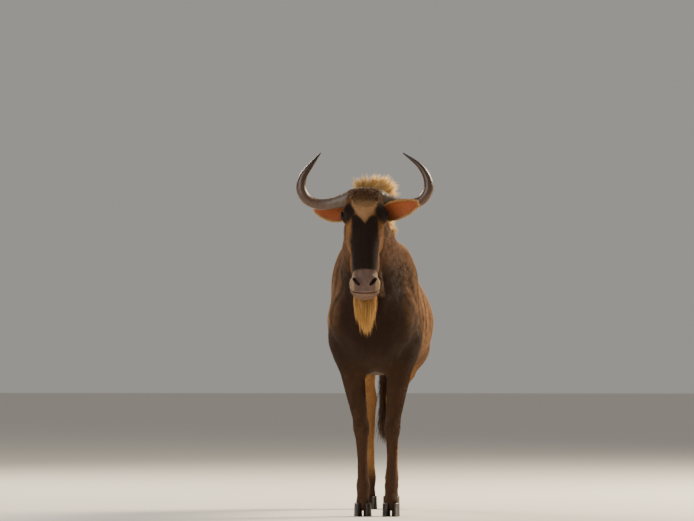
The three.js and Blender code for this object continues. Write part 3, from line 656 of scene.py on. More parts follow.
# The head's colours lie in its own directions: across, along from the poll, and ahead
def headColour(p, body, wobble):
    q = inHead(p)
    side, s, f = np.abs(q[:, 0]), q[:, 1], q[:, 2]
    groove = mouthGroove(q)
    patch = ramp(60 - side - np.maximum(s - 84, 0) * 0.42 + wobble * 5, 0, 12) * ramp(s, 44, 66)
    patch = patch * ramp(182 - side * 1.1 - s + wobble * 6, 0, 22) * ramp(f, 10, 40)
    mask = ramp(f, 10, 40) * ramp(s - 136 + side * 0.3 + wobble * 5, 0, 20)
    mask = mask * ramp(66 - side + wobble * 5, 0, 14)
    roundEye = ramp(54 - np.hypot((s - 112) * 0.85, f - 42), 0, 26) * ramp(side, 38, 50)
    dark = ramp(s - 205 + side * 0.3, 0, 70) * ramp(f, -25, 25)
    below = ramp(faceDetail["mouth"][1][1] - f - (492 - s) * 0.9, 0, 8) * ramp(s, 410, 440)
    return layered(body, [
        ("cheek", np.ones(len(p))),
        ("crown", ramp(105 - s, 0, 60)),
        ("face", np.maximum(mask, roundEye)),
        ("brow", patch * 0.95),
        ("face", dark * ramp(86 - side, 0, 26)),
        ("face", ramp(s, 300, 400) * ramp(f, -40, 0) * 0.8),
        ("muzzleSide", ramp(s - 384 + wobble * 5, 0, 18) * ramp(side, 34, 50) * ramp(f, -40, -12)),
        ("muzzle", ramp(s - 388 + wobble * 4, 0, 10) * ramp(f, 4, 20) * ramp(54 - side, 0, 12)),
        ("lip", below * ramp(s, 440, 470)),
        ("lip", ramp(12 - groove, 0, 5) * ramp(s, 425, 450) * 0.7),
        # the mouth line and the nostril hollows: their dark skin, with painted shade in the recesses
        ("inside", ramp(2.8 - groove, 0, 1.6) * ramp(s, 414, 424)),
        ("inside", ramp(4.2 - nostrilHollow(q), 0, 2.2)),
        ("lid", ramp(29 - eyeDistance(p), 0, 5)),
    ])


def markings(p):
    wobble = (softNoise(p, 70) - 0.5) * 2
    fine = (softNoise(p * [1, 1, 0.25], 16) - 0.5) * 2
    colour = bodyColour(p, wobble, fine)
    head = ramp(-p[:, 1], 440, 500) * ramp(inHead(p)[:, 1], -30, 10)
    colour = colour + (headColour(p, colour, wobble) - colour) * head[:, None]
    shade = 1 + 0.16 * fine + 0.12 * wobble
    return np.clip(colour * shade[:, None], 0, 1)


def bareness(p):
    q = inHead(p)
    nose = ramp(q[:, 1], 400, 416) * ramp(q[:, 2], 8, 22) * ramp(52 - np.abs(q[:, 0]), 0, 10)
    return np.maximum(nose, ramp(30 - eyeDistance(p), 0, 4)) * (p[:, 1] < -400)


def onPlane(v, normal):
    return v - (v * normal).sum(1, keepdims=True) * normal


# Which way the coat lies: backwards and down on the body, down on the legs, up the face
def lieOf(p, normal):
    flow = columns(0.12 * np.sign(p[:, 0]), 1.0, -0.45)
    leg = ramp(-p[:, 2], -760, -600)[:, None]
    flow = flow * (1 - leg) + asVector([0, 0.15, -1]) * leg
    q = inHead(p)
    head = (ramp(-p[:, 1], 430, 500) * ramp(q[:, 1], -40, 0))[:, None]
    flow = flow * (1 - head) + (-along * 0.9 + np.sign(q[:, :1]) * across * 0.35) * head
    return unit(onPlane(flow, normal) + 1e-6)


print("skin: sampling the body")
values, axes = sampleField(skinField, skinGrid)
points, quads = surfaceNet(values, axes)
points = onSurface(skinField, points, 2)
print("skin:", len(points), "points,", len(quads), "faces")


# Faces whose corners pass each test in turn are divided, so that the head is finer than the body
def refine(points, quads, chosen):
    mesh = bmesh.new()
    made = [mesh.verts.new(p) for p in points]
    mesh.verts.index_update()
    for quad in quads:
        try:
            mesh.faces.new([made[i] for i in quad])
        except ValueError:
            # the same face can't be made twice
            pass
    for test in chosen:
        mesh.verts.index_update()
        pick = test(np.array([v.co for v in mesh.verts]))
        edges = [e for e in mesh.edges if pick[e.verts[0].index] and pick[e.verts[1].index]]
        bmesh.ops.subdivide_edges(mesh, edges=edges, cuts=1, use_grid_fill=True)
    bmesh.ops.triangulate(mesh, faces=mesh.faces[:])
    mesh.verts.index_update()
    spots = np.array([v.co for v in mesh.verts])
    faces = np.array([[v.index for v in f.verts] for f in mesh.faces])
    mesh.free()
    return spots, faces


def onTheHead(p):
    return (p[:, 1] < -440) & (inHead(p)[:, 1] > -30)


def nearFeatures(p):
    return ((inHead(p)[:, 1] > 396) & onTheHead(p)) | (eyeDistance(p) < 40)


def nearRims(p):
    q = inHead(p)
    rims = (mouthGroove(q) < 6) | (nostrilHollow(q) < 7)
    return (onTheHead(p) & (q[:, 1] > 405) & rims) | (eyeDistance(p) < 29)


points, faces = refine(points, quads, [onTheHead, nearFeatures, nearRims])
points = onSurface(skinField, points, 5)
normals = unit(gradient(skinField, points))
skin = meshFrom("skin", placed(points), faces)
giveAttribute(skin.data, "coatColour", "FLOAT_COLOR", markings(points))
giveAttribute(skin.data, "bare", "FLOAT", bareness(points))
giveAttribute(skin.data, "lie", "FLOAT_VECTOR", lieOf(points, normals))
print("skin:", len(faces), "triangles after the head is refined")


def addNode(tree, kind, settings=None, links=None):
    node = tree.nodes.new(kind)
    for name, value in (settings or {}).items():
        if isinstance(name, str) and hasattr(node, name):
            setattr(node, name, value)
        else:
            node.inputs[name].default_value = value
    for name, source in (links or {}).items():
        tree.links.new(source, node.inputs[name])
    return node


def newMaterial(name):
    material = bpy.data.materials.new(name)
    material.use_nodes = True
    tree = material.node_tree
    tree.nodes.clear()
    return material, tree


def attributeOf(tree, name):
    return addNode(tree, "ShaderNodeAttribute", {"attribute_name": name}).outputs


def objectPlace(tree):
    return addNode(tree, "ShaderNodeTexCoord").outputs["Object"]


def noiseOf(tree, place, scale, detail, roughness=0.5):
    settings = {"Scale": scale, "Detail": detail, "Roughness": roughness}
    return addNode(tree, "ShaderNodeTexNoise", settings, {"Vector": place}).outputs["Fac"]


def rangeOf(tree, value, low, high, start=0.0, end=1.0):
    settings = {"From Min": start, "From Max": end, "To Min": low, "To Max": high}
    return addNode(tree, "ShaderNodeMapRange", settings, {"Value": value}).outputs["Result"]


def scaledColour(tree, colour, amount):
    links = {0: colour, "Scale": amount}
    return addNode(tree, "ShaderNodeVectorMath", {"operation": "SCALE"}, links).outputs["Vector"]


def bumpOf(tree, height, strength, distance):
    settings = {"Strength": strength, "Distance": distance}
    return addNode(tree, "ShaderNodeBump", settings, {"Height": height}).outputs["Normal"]


def endMaterial(tree, settings, links=None):
    shader = addNode(tree, "ShaderNodeBsdfPrincipled", settings, links)
    addNode(tree, "ShaderNodeOutputMaterial", None, {"Surface": shader.outputs["BSDF"]})


# Haired hide: short hair laid flat over skin, so the light catches in soft streaks, and a damp bare nose
def makeHide():
    material, tree = newMaterial("hairedHide")
    colour, bare = attributeOf(tree, "coatColour")["Color"], attributeOf(tree, "bare")["Fac"]
    place = objectPlace(tree)
    # streaks about 3 mm wide and 17 mm long, wider than real hair so that they show
    stretch = addNode(tree, "ShaderNodeMapping", {"Scale": (320.0, 60.0, 90.0)}, {"Vector": place})
    streak = noiseOf(tree, stretch.outputs["Vector"], 1.0, 4.0, 0.6)
    pores = addNode(tree, "ShaderNodeTexVoronoi", {"Scale": 620.0}, {"Vector": place}).outputs["Distance"]
    links = {"Factor": bare, "A": streak, "B": pores}
    relief = addNode(tree, "ShaderNodeMix", {"data_type": "FLOAT"}, links).outputs["Result"]
    endMaterial(tree, {"Specular IOR Level": 0.16}, {
        "Base Color": scaledColour(tree, colour, rangeOf(tree, streak, 0.72, 1.25, 0.3, 0.7)),
        "Roughness": rangeOf(tree, bare, 0.85, 0.5),
        "Normal": bumpOf(tree, relief, 0.5, 0.0015),
    })
    return material


hide = makeHide()
skin.data.materials.append(hide)


# Hair: keratin strands, a little glossy along their length, darker at the root
def makeHair(name, roughness, gloss):
    material, tree = newMaterial(name)
    colour = attributeOf(tree, "hairColour")["Color"]
    # strands in a lock, about 2 mm apart so that they show
    tone = rangeOf(tree, noiseOf(tree, objectPlace(tree), 420.0, 2.0), 0.8, 1.18, 0.3, 0.7)
    settings = {"Roughness": roughness, "Specular IOR Level": gloss}
    endMaterial(tree, settings, {"Base Color": scaledColour(tree, colour, tone)})
    return material


coatHair = makeHair("shortCoatHair", 0.7, 0.2)
longHair = makeHair("longManeHair", 0.5, 0.4)

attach(skin, "root")
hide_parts("torso", "neck", "head", "tail", *legs)


# From inside the body out to its surface, in steps a little short so as not to pass it
def reach(field, start, way, rounds=24):
    at = np.zeros(len(start))
    for _ in range(rounds):
        at = np.clip(at - field(start + way * at[:, None]) * 0.9, 0, 500)
    return start + way * at[:, None]


def around(a, b):
    return np.arctan2(a, b) / (2 * math.pi) + 0.5


# A flat map of the skin: the head, the trunk with the neck, and four leg strips lie side by side
def unwrap(p):
    x, y, z = p.T
    q = inHead(p)
    middle = np.clip(1010 - y * 0.6, 940, 1300)
    trunkUv = columns(0.02 + 0.94 * ramp(y, -520, 1180), 0.03 + 0.52 * around(x, z - middle))
    headUv = columns(
        0.03 + 0.26 * around(q[:, 0], q[:, 2]), 0.62 + 0.34 * np.clip((q[:, 1] + 40) / 560, 0, 1),
    )
    uv = np.where(onTheHead(p)[:, None], headUv, trunkUv)
    for n, leg in enumerate(legs.values()):
        between = 20 if leg["front"] else -20
        near = (z < 690) & ((y < 450) == leg["front"]) & ((x > between) == (leg["foot"] > 0))
        turn = around(x - leg["foot"], y - leg["points"][4][1])
        legUv = columns(0.34 + 0.16 * n + 0.13 * turn, 0.62 + 0.34 * np.clip(z / 700, 0, 1))
        uv = np.where(near[:, None], legUv, uv)
    return uv


def giveUv(mesh, uv):
    corners = np.empty(len(mesh.loops), dtype=np.int32)
    mesh.loops.foreach_get("vertex_index", corners)
    flatMap = mesh.uv_layers.new(name="OFBake")
    flatMap.data.foreach_set("uv", np.asarray(uv, dtype=np.float32)[corners].ravel())


# Strands: each is a bent, tapered sliver with three long sides, closed at the root
def strands(name, material, plan, segments=4):
    root, start, end, face = plan["root"], unit(plan["start"]), unit(plan["end"]), plan["face"]
    count, rows = len(root), 3 * segments + 1
    spot = root - start * plan["sink"]
    points, colours, uv = (np.zeros((count, rows, size)) for size in (3, 3, 2))
    base = unwrap(root)
    for k in range(segments + 1):
        t = k / segments
        way = unit(mix(start, end, ramp(min(1, t + 0.5 / segments), 0, 1)))
        side = unit(np.cross(face, way))
        front = np.cross(way, side)
        here = spot + plan["offset"] * mix(1, plan["pinch"], t)
        taper = 0.72 + 0.6 * t - 1.2 * t * t
        colour = mix(plan["rootColour"], plan["tipColour"], t ** 0.8) * plan["tone"][:, None]
        if k < segments:
            wide = side * (plan["width"] * taper)[:, None] / 2
            deep = front * (plan["thick"] * taper)[:, None]
            corners = ((-wide, 0), (wide, 1), (deep, 0.5))
        else:
            corners = ((0, 0.5),)
        for j, (move, u) in enumerate(corners):
            points[:, 3 * k + j] = here + move
            colours[:, 3 * k + j] = colour
            uv[:, 3 * k + j] = base + 0.003 * asVector([u, t])
        spot = spot + way * (plan["length"] / segments)[:, None]
    triangles = [(0, 2, 1)]
    for k in range(segments - 1):
        for j in range(3):
            a, b, c, d = 3 * k + j, 3 * k + (j + 1) % 3, 3 * k + 3 + (j + 1) % 3, 3 * k + 3 + j
            triangles += [(a, b, c), (a, c, d)]
    last = 3 * (segments - 1)
    triangles += [(last, last + 1, last + 3), (last + 1, last + 2, last + 3), (last + 2, last, last + 3)]
    faces = (np.arange(count)[:, None, None] * rows + np.array(triangles)[None]).reshape(-1, 3)
    obj = meshFrom(name, placed(points.reshape(-1, 3)), faces)
    giveAttribute(obj.data, "hairColour", "FLOAT_COLOR", np.clip(colours.reshape(-1, 3), 0, 1))
    giveUv(obj.data, uv.reshape(-1, 2))
    obj.data.materials.append(material)
    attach(obj, "root")
    print(name, len(faces), "triangles")


# Clumps: strands that start apart and draw together towards the tip
def clumped(draw, clump, count, spread, pinch, sink=6):
    total = len(clump["root"]) * count
    many = {key: np.repeat(value, count, axis=0) for key, value in clump.items()}
    start = unit(many["start"])
    loose = onPlane(draw.normal(size=(total, 3)), start)
    many["offset"] = unit(loose) * (spread * np.sqrt(draw.random(total)))[:, None]
    many["start"] = start + draw.normal(size=(total, 3)) * 0.07
    many["end"] = unit(many["end"]) + draw.normal(size=(total, 3)) * 0.09
    many["face"] = many["face"] + draw.normal(size=(total, 3)) * 0.5
    many["length"] = many["length"] * draw.uniform(0.72, 1.06, total)
    many["tone"] = draw.uniform(0.72, 1.22, total)
    many["pinch"], many["sink"] = pinch, sink
    return many


# What every kind of hair gives: size is a strand's width and thickness, and colours are from root to tip
def locks(root, start, end, face, length, size, colours, glow=1):
    count = len(root)
    rootColour, tipColour = (linearColour(c) if isinstance(c, str) else c for c in colours)
    return {
        "root": root, "start": start, "end": end, "face": face, "length": length,
        "width": np.full(count, size[0]), "thick": np.full(count, size[1]),
        "rootColour": rootColour * np.ones((count, 3)) * glow,
        "tipColour": tipColour * np.ones((count, 3)) * glow,
    }


neckAxis = asVector([
    [-470, -21, 1375], [-400, -19, 1340], [-270, -10, 1235], [-150, -3, 1150], [-20, 0, 1090],
    [120, 0, 1050],
])


def onNeck(y, turn):
    axis = stationAt(neckAxis, y)[0]
    start = columns(axis[:, 1], y, axis[:, 2])
    a = np.radians(turn)
    up, down = unit(asVector([0, 0.5, 1])), unit(asVector([0, -0.6, -1]))
    stand = np.where((np.abs(turn) < 90)[:, None], up, down)
    way = unit(stand * np.abs(np.cos(a))[:, None] + columns(np.sin(a), 0, 0))
    return reach(skinField, start, way)


def maneClumps(draw, count, low, high, maneLength):
    t = draw.uniform(low, high, count)
    row = draw.uniform(-1, 1, count)
    y = mix(-464, 10, t)
    root = onNeck(y, row * 17 + 7 * ramp(0.4 - t, 0, 0.3) + draw.normal(size=count) * 2)
    lean = mix(row * 0.95 + 0.55, row * 0.4, ramp(t, 0.1, 0.5)) + draw.normal(size=count) * 0.1
    start = columns(lean, draw.normal(size=count) * 0.12, 1.0)
    normal = unit(gradient(skinField, root))
    stand = columns(lean * 1.4, mix(0.05, 0.4, t), mix(0.95, 0.5, t))
    fall = columns(np.sign(row) * (0.75 + 0.3 * np.abs(row)), 0.6, -0.8)
    fall = unit(onPlane(fall, normal)) + normal * 0.06
    end = mix(stand, fall, ramp(t, 0.2, 0.62)[:, None]) + draw.normal(size=(count, 3)) * 0.08
    face = columns(row * 1.5, -0.6 * (1 - t), 0.4)
    size = maneLength * mix(mix(0.76, 1.04, ramp(row, -0.7, 0.4)), 1.05, ramp(t, 0.1, 0.5))
    size = size * mix(1, 0.62, ramp(t, 0.35, 0.7)) * mix(1, 0.5, ramp(t, 0.74, 1))
    size = size * draw.uniform(0.84, 1.08, count)
    golden = draw.uniform(0.85, 1.12, (count, 1))
    dark = ramp(t, 0.45, 1.0)[:, None]
    rootColour = mix(linearColour("#8a6234"), linearColour("#50351f"), dark)
    tipColour = mix(linearColour("#efc67c"), linearColour("#b0854b"), dark)
    return locks(root, start, end, face, size, (3.4, 1.2), (rootColour, tipColour), golden)


def beardClumps(draw, count, beardLength):
    t, row = draw.random(count), draw.uniform(-1, 1, count)
    onJaw = onHead(row * mix(30, 40, t), mix(286, 474, t), np.zeros(count))
    root = reach(skinField, onJaw, np.tile(-ahead, (count, 1)))
    n = draw.normal(size=(2, count))
    start = columns(row * 0.22, 0.22, -1)
    end = columns(-row * 0.36 + 0.07 + n[0] * 0.05, -0.1 + n[1] * 0.06, -1)
    full = mix(0.62, 1, np.sin(math.pi * np.minimum(1, t * 0.75)))
    glow = draw.uniform(0.85, 1.12, (count, 1))
    length = beardLength * full * draw.uniform(0.84, 1.06, count) * mix(1.16, 0.74, np.abs(row))
    return locks(root, start, end, columns(row, -0.8, 0), length, (3.2, 1.1), ("#8f6436", "#dba85c"), glow)


def throatClumps(draw, count, fringeLength):
    t, row = draw.random(count), draw.uniform(-1, 1, count)
    root = onNeck(mix(-405, -215, t), 180 - row * 20)
    n = draw.normal(size=(2, count))
    start = columns(row * 0.3, -0.35, -1)
    end = columns(-row * 0.12 + n[0] * 0.08, 0.1 + n[1] * 0.08, -1)
    length = fringeLength * draw.uniform(0.7, 1.1, count) * mix(1, 0.55, t)
    return locks(root, start, end, columns(row, -0.7, 0), length, (3.2, 1.2), ("#2a1b12", "#5a3d24"))


def tailClumps(draw, count, tuftLength):
    turn = draw.uniform(0, 2 * math.pi, count)
    t = draw.random(count) ** 0.8
    way = columns(np.cos(turn), np.sin(turn), 0)
    z = mix(800, 500, t)
    root = columns(0, mix(1147, 1134, t), z) + way * mix(9, 4, t)[:, None]
    down = asVector([0, -0.03, -1])
    length = np.minimum(tuftLength * draw.uniform(0.8, 1.2, count), z - 300)
    end = down + way * draw.uniform(-0.1, 0.02, (count, 1))
    return locks(root, down + way * 0.2, end, way, length, (3.6, 1.4), ("#2a1b12", "#4d351f"))


def foreheadClumps(draw, count):
    s = draw.uniform(-10, 84, count)
    x = np.clip(draw.normal(size=count) * mix(32, 18, ramp(s, 40, 84)), -62, 62)
    root = reach(skinField, onHead(x * 0.8, s, np.zeros(count)), np.tile(ahead, (count, 1)))
    n = draw.normal(size=(2, count))
    start = ahead * 0.8 + outer(mix(-0.7, 0.9, ramp(s, 0, 30)), along) + outer(x / 60, across)
    end = ahead * 0.1 + along + outer(x / 55 + n[0] * 0.12, across)
    low = ramp(s + draw.normal(size=count) * 8, 40, 74)[:, None]
    face = np.tile(ahead, (count, 1)) + n[:1].T * 0.2
    length = mix(46, 20, ramp(s, 0, 74)) * draw.uniform(0.7, 1.15, count)
    rootColour = mix(linearColour("#33221a"), linearColour("#7a593a"), low)
    tipColour = mix(linearColour("#6b4a2e"), linearColour("#a8855a"), low)
    return locks(root, start, end, face, length, (2.2, 0.8), (rootColour, tipColour))


# Long hair: how many clumps, the strands in each, how wide they start and how far they draw together
hairPieces = [
    {"name": "maneBehindHorns", "grow": maneClumps, "clumps": 1000, "each": 8, "spread": 7, "pinch": 0.4,
     "shape": {"low": 0, "high": 0.42, "maneLength": 118}},
    {"name": "maneOnNeck", "grow": maneClumps, "clumps": 950, "each": 7, "spread": 8, "pinch": 0.4,
     "shape": {"low": 0.36, "high": 1, "maneLength": 118}},
    {"name": "beard", "grow": beardClumps, "clumps": 1000, "each": 7, "spread": 6, "pinch": 0.35,
     "shape": {"beardLength": 195}},
    {"name": "throatFringe", "grow": throatClumps, "clumps": 620, "each": 7, "spread": 6, "pinch": 0.35,
     "shape": {"fringeLength": 122}},
    {"name": "tailTuft", "grow": tailClumps, "clumps": 760, "each": 7, "spread": 5, "pinch": 0.5,
     "shape": {"tuftLength": 215}},
    {"name": "foreheadHair", "grow": foreheadClumps, "clumps": 860, "each": 6, "spread": 4, "pinch": 0.5,
     "shape": {}, "sink": 3, "segments": 3},
]
hairDraw = np.random.default_rng(11)
for piece in hairPieces:
    clumps = piece["grow"](hairDraw, piece["clumps"], **piece["shape"])
    hairs = clumped(hairDraw, clumps, piece["each"], piece["spread"], piece["pinch"], piece.get("sink", 6))
    strands(piece["name"], longHair, hairs, piece.get("segments", 4))


# Short coat: tufts of seven flat slivers, set over the skin along the lie of the hair
tuftPlan = {"blades": 7, "length": 0.027, "width": 0.0023, "spread": 0.0056, "rise": 0.0032}


def makeTuft(plan):
    draw = np.random.default_rng(3)
    points, faces = [], []
    for k in range(plan["blades"]):
        t = k / (plan["blades"] - 1) * 2 - 1
        y, x = t * plan["spread"], draw.uniform(-0.35, 0.1) * plan["length"]
        turn = t * 0.22 + draw.uniform(-0.08, 0.08)
        way = asVector([math.cos(turn), math.sin(turn), 0])
        side = asVector([-way[1], way[0], 0]) * plan["width"] / 2
        root = asVector([x, y, -0.001])
        tip = root + way * plan["length"] * draw.uniform(0.8, 1.1)
        tip = tip + [0, 0, plan["rise"] * draw.uniform(0.7, 1.3)]
        top = root + way * 0.004 + [0, 0, 0.0014]
        n = len(points)
        points += [root - side, root + side, top, tip]
        faces += [(n, n + 2, n + 1), (n, n + 3, n + 2), (n + 1, n + 2, n + 3), (n, n + 1, n + 3)]
    mesh = bpy.data.meshes.new("tuft")
    mesh.from_pydata([tuple(p) for p in points], [], faces)
    shape = np.array(points)
    patch = columns(shape[:, 1] / plan["spread"] * 0.5 + 0.5, (shape[:, 0] / plan["length"] + 0.35) / 1.5)
    far = np.tile([0, 0, 0.15, 1.0], plan["blades"])
    return bpy.data.objects.new("tuft", mesh), np.clip(patch, 0, 1), far


def makeCoatTree():
    tree = bpy.data.node_groups.new("coatTufts", "GeometryNodeTree")
    sockets = [("Skin", "NodeSocketGeometry"), ("Tuft", "NodeSocketObject"), ("Spacing", "NodeSocketFloat"),
               ("Seed", "NodeSocketInt"), ("Hair", "NodeSocketMaterial")]
    for name, kind in sockets:
        tree.interface.new_socket(name, in_out="INPUT", socket_type=kind)
    tree.interface.new_socket("Coat", in_out="OUTPUT", socket_type="NodeSocketGeometry")
    given = addNode(tree, "NodeGroupInput").outputs
    here = addNode(tree, "GeometryNodeInputNamedAttribute", {"data_type": "FLOAT", "Name": "coatHere"})
    settings = {"distribute_method": "POISSON", "Density Max": 60000.0}
    links = {
        "Mesh": given["Skin"], "Distance Min": given["Spacing"],
        "Density Factor": here.outputs["Attribute"], "Seed": given["Seed"],
    }
    points = addNode(tree, "GeometryNodeDistributePointsOnFaces", settings, links)
    place = addNode(tree, "GeometryNodeInputPosition")
    settings = {"data_type": "FLOAT_VECTOR", "domain": "POINT", "Name": "rootSpot"}
    links = {"Geometry": points.outputs["Points"], "Value": place.outputs["Position"]}
    marked = addNode(tree, "GeometryNodeStoreNamedAttribute", settings, links)
    lie = addNode(tree, "GeometryNodeInputNamedAttribute", {"data_type": "FLOAT_VECTOR", "Name": "lie"})
    loose = addNode(
        tree, "FunctionNodeRandomValue",
        {"data_type": "FLOAT_VECTOR", 0: (-0.3, -0.3, -0.3), 1: (0.3, 0.3, 0.3)},
        {"Seed": given["Seed"]},
    )
    way = addNode(
        tree, "ShaderNodeVectorMath", {"operation": "ADD"},
        {0: lie.outputs["Attribute"], 1: loose.outputs[0]},
    )
    turn = addNode(tree, "FunctionNodeAxesToRotation", {"primary_axis": "Z", "secondary_axis": "X"},
                   {"Primary Axis": points.outputs["Normal"], "Secondary Axis": way.outputs[0]})
    large = addNode(tree, "GeometryNodeInputNamedAttribute", {"data_type": "FLOAT", "Name": "tuftScale"})
    vary = addNode(
        tree, "FunctionNodeRandomValue", {"data_type": "FLOAT", 2: 0.75, 3: 1.25},
        {"Seed": given["Seed"]},
    )
    scale = addNode(
        tree, "ShaderNodeMath", {"operation": "MULTIPLY"},
        {0: large.outputs["Attribute"], 1: vary.outputs[1]},
    )
    tuft = addNode(tree, "GeometryNodeObjectInfo", None, {"Object": given["Tuft"]})
    many = addNode(tree, "GeometryNodeInstanceOnPoints", None,
                   {
                       "Points": marked.outputs["Geometry"], "Instance": tuft.outputs["Geometry"],
                       "Rotation": turn.outputs["Rotation"], "Scale": scale.outputs[0],
                   })
    real = addNode(tree, "GeometryNodeRealizeInstances", None, {"Geometry": many.outputs["Instances"]})
    finish = addNode(
        tree, "GeometryNodeSetMaterial", None,
        {"Geometry": real.outputs["Geometry"], "Material": given["Hair"]},
    )
    addNode(tree, "NodeGroupOutput", None, {"Coat": finish.outputs["Geometry"]})
    return tree


coatTree = makeCoatTree()
tuft, tuftPatch, tuftFar = makeTuft(tuftPlan)
y, z = points[:, 1], points[:, 2]
headSpots = inHead(points)
onHeadNow = onTheHead(points)
legNow = (z < 690) & ~onHeadNow
mouthNow = onHeadNow & (mouthGroove(headSpots) < 5) & (headSpots[:, 1] > 408)
openNow = (bareness(points) > 0.4) | mouthNow | (z < 66)
# how large the tufts are: smallest on the face and the feet, fuller on the chest, the belly and the neck
tuftScale = np.full(len(points), 0.95)
tuftScale = mix(tuftScale, 1.05, ramp(-y, -40, 200))
tuftScale = mix(tuftScale, 1.2, ramp(-z, -760, -660) * (y > -100))
tuftScale = mix(tuftScale, mix(0.36, 0.62, ramp(z, 120, 640)), ramp(-z, -760, -640))
tuftScale = np.where(onHeadNow, mix(0.5, 0.3, ramp(headSpots[:, 1], 60, 380)), tuftScale)
coatPieces = [
    {"name": "coatHead", "spacing": 0.0054, "seed": 1, "where": onHeadNow},
    {"name": "coatNeck", "spacing": 0.0104, "seed": 2, "where": (y < 120) & ~onHeadNow & ~legNow},
    {"name": "coatRibs", "spacing": 0.0104, "seed": 3, "where": (y >= 120) & (y < 620) & ~legNow},
    {"name": "coatRump", "spacing": 0.0104, "seed": 4, "where": (y >= 620) & ~legNow},
    {"name": "coatLegs", "spacing": 0.0088, "seed": 5, "where": legNow},
]


def growCoat(plan):
    base = bpy.data.objects.new("base", skin.data.copy())
    bpy.context.scene.collection.objects.link(base)
    giveAttribute(base.data, "coatHere", "FLOAT", (plan["where"] & ~openNow).astype(float))
    giveAttribute(base.data, "tuftScale", "FLOAT", tuftScale)
    modifier = base.modifiers.new("coat", "NODES")
    modifier.node_group = coatTree
    values = {"Tuft": tuft, "Spacing": plan["spacing"], "Seed": plan["seed"], "Hair": coatHair}
    for item in coatTree.interface.items_tree:
        if item.in_out == "INPUT" and item.name in values:
            modifier[item.identifier] = values[item.name]
    graph = bpy.context.evaluated_depsgraph_get()
    mesh = bpy.data.meshes.new_from_object(base.evaluated_get(graph))
    base.modifiers.remove(modifier)
    bpy.data.objects.remove(base)
    count = len(tuftFar)
    spots = np.empty(len(mesh.vertices) * 3, dtype=np.float32)
    mesh.attributes["rootSpot"].data.foreach_get("vector", spots)
    root = spots.reshape(-1, count, 3)[:, 0] * 1000.0 - shift
    draw = np.random.default_rng(plan["seed"])
    tone = draw.uniform(0.8, 1.3, len(root))
    colour = markings(root) * tone[:, None]
    colour = colour[:, None] * mix(0.8, 1.3, tuftFar)[None, :, None]
    for name in [a.name for a in mesh.attributes]:
        if name in ("rootSpot", "coatColour", "bare", "lie", "coatHere", "tuftScale"):
            mesh.attributes.remove(mesh.attributes[name])
    giveAttribute(mesh, "hairColour", "FLOAT_COLOR", np.clip(colour.reshape(-1, 3), 0, 1))
    while mesh.uv_layers:
        mesh.uv_layers.remove(mesh.uv_layers[0])
    giveUv(mesh, (unwrap(root)[:, None] + 0.003 * tuftPatch[None]).reshape(-1, 2))
    obj = bpy.data.objects.new(plan["name"], mesh)
    bpy.context.scene.collection.objects.link(obj)
    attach(obj, "root")
    print(plan["name"], len(mesh.polygons), "triangles")


for plan in coatPieces:
    growCoat(plan)
bpy.data.objects.remove(tuft)


# Rings of points joined into a closed skin, with a point in the middle of each end
def ringFaces(rings, sides):
    k, j = np.meshgrid(np.arange(rings - 1), np.arange(sides), indexing="ij")
    a = k * sides + j
    b = k * sides + (j + 1) % sides
    return np.stack([a, b, b + sides, a + sides], -1).reshape(-1, 4)


def closedRings(name, rings, material):
    count, sides = rings.shape[:2]
    ends = np.stack([rings[0].mean(0), rings[-1].mean(0)])
    quads = ringFaces(count, sides)
    tris = np.concatenate([quads[:, [0, 1, 2]], quads[:, [0, 2, 3]]])
    j = np.arange(sides)
    first = np.stack([np.full(sides, count * sides), (j + 1) % sides, j], -1)
    last = (count - 1) * sides
    final = np.stack([np.full(sides, count * sides + 1), last + j, last + (j + 1) % sides], -1)
    faces = np.concatenate([tris, first, final])
    points = np.concatenate([rings.reshape(-1, 3), ends])
    middle = points.mean(0)
    a, b, c = (points[faces[:, n]] - middle for n in range(3))
    if np.einsum("ij,ij->i", a, np.cross(b, c)).sum() < 0:
        faces = faces[:, ::-1]
    obj = meshFrom(name, placed(points), faces)
    obj.data.materials.append(material)
    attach(obj, "root")
    return obj, points


# Horns: x, forward, up and radius from the poll
hornPlan = {
    "line": [
        [24, 2, -14, 35], [58, -2, -17, 37], [110, -10, -32, 30], [165, -20, -45, 25], [220, -22, -44, 24],
        [266, -18, -20, 24], [288, -16, 26, 22.5], [279, -18, 80, 18], [243, -22, 132, 12],
        [186, -28, 186, 2.5],
    ],
    "tip": {1: 172, -1: 200},
    "rings": 170,
    "sides": 36,
    "ribs": 30,
    "ribHeight": 0.009,
}
sideNames = {1: "Left", -1: "Right"}


def smoothLine(points, count):
    points = asVector(points)
    keys = np.arange(len(points), dtype=float)
    rows = np.concatenate([keys[:, None], points], axis=1)
    return stationAt(rows, np.linspace(0, len(points) - 1, count))[0][:, 1:]


def makeHornMaterial():
    material, tree = newMaterial("hornKeratin")
    place, far = objectPlace(tree), attributeOf(tree, "hornAlong")["Fac"]
    # weathered sheath: grey-brown at the boss, warmer outwards, near black at the tip
    sheath = addNode(tree, "ShaderNodeValToRGB", None, {"Fac": far})
    stops = [(0.0, "#5b5048"), (0.22, "#57483c"), (0.5, "#52392a"), (0.8, "#3b271b"), (1.0, "#1b120d")]
    for n, (at, text) in enumerate(stops):
        stop = sheath.color_ramp.elements[n] if n < 2 else sheath.color_ramp.elements.new(at)
        stop.position = at
        stop.color = (*linearColour(text), 1)
    # blotches of about 20 mm, and fibres of about 3 mm in the relief
    tone = rangeOf(tree, noiseOf(tree, place, 55.0, 6.0, 0.65), 0.62, 1.3, 0.3, 0.7)
    endMaterial(tree, {"IOR": 1.55}, {
        "Base Color": scaledColour(tree, sheath.outputs["Color"], tone),
        "Roughness": rangeOf(tree, far, 0.55, 0.34),
        "Normal": bumpOf(tree, noiseOf(tree, place, 380.0, 3.0), 0.35, 0.001),
    })
    return material


hornMaterial = makeHornMaterial()


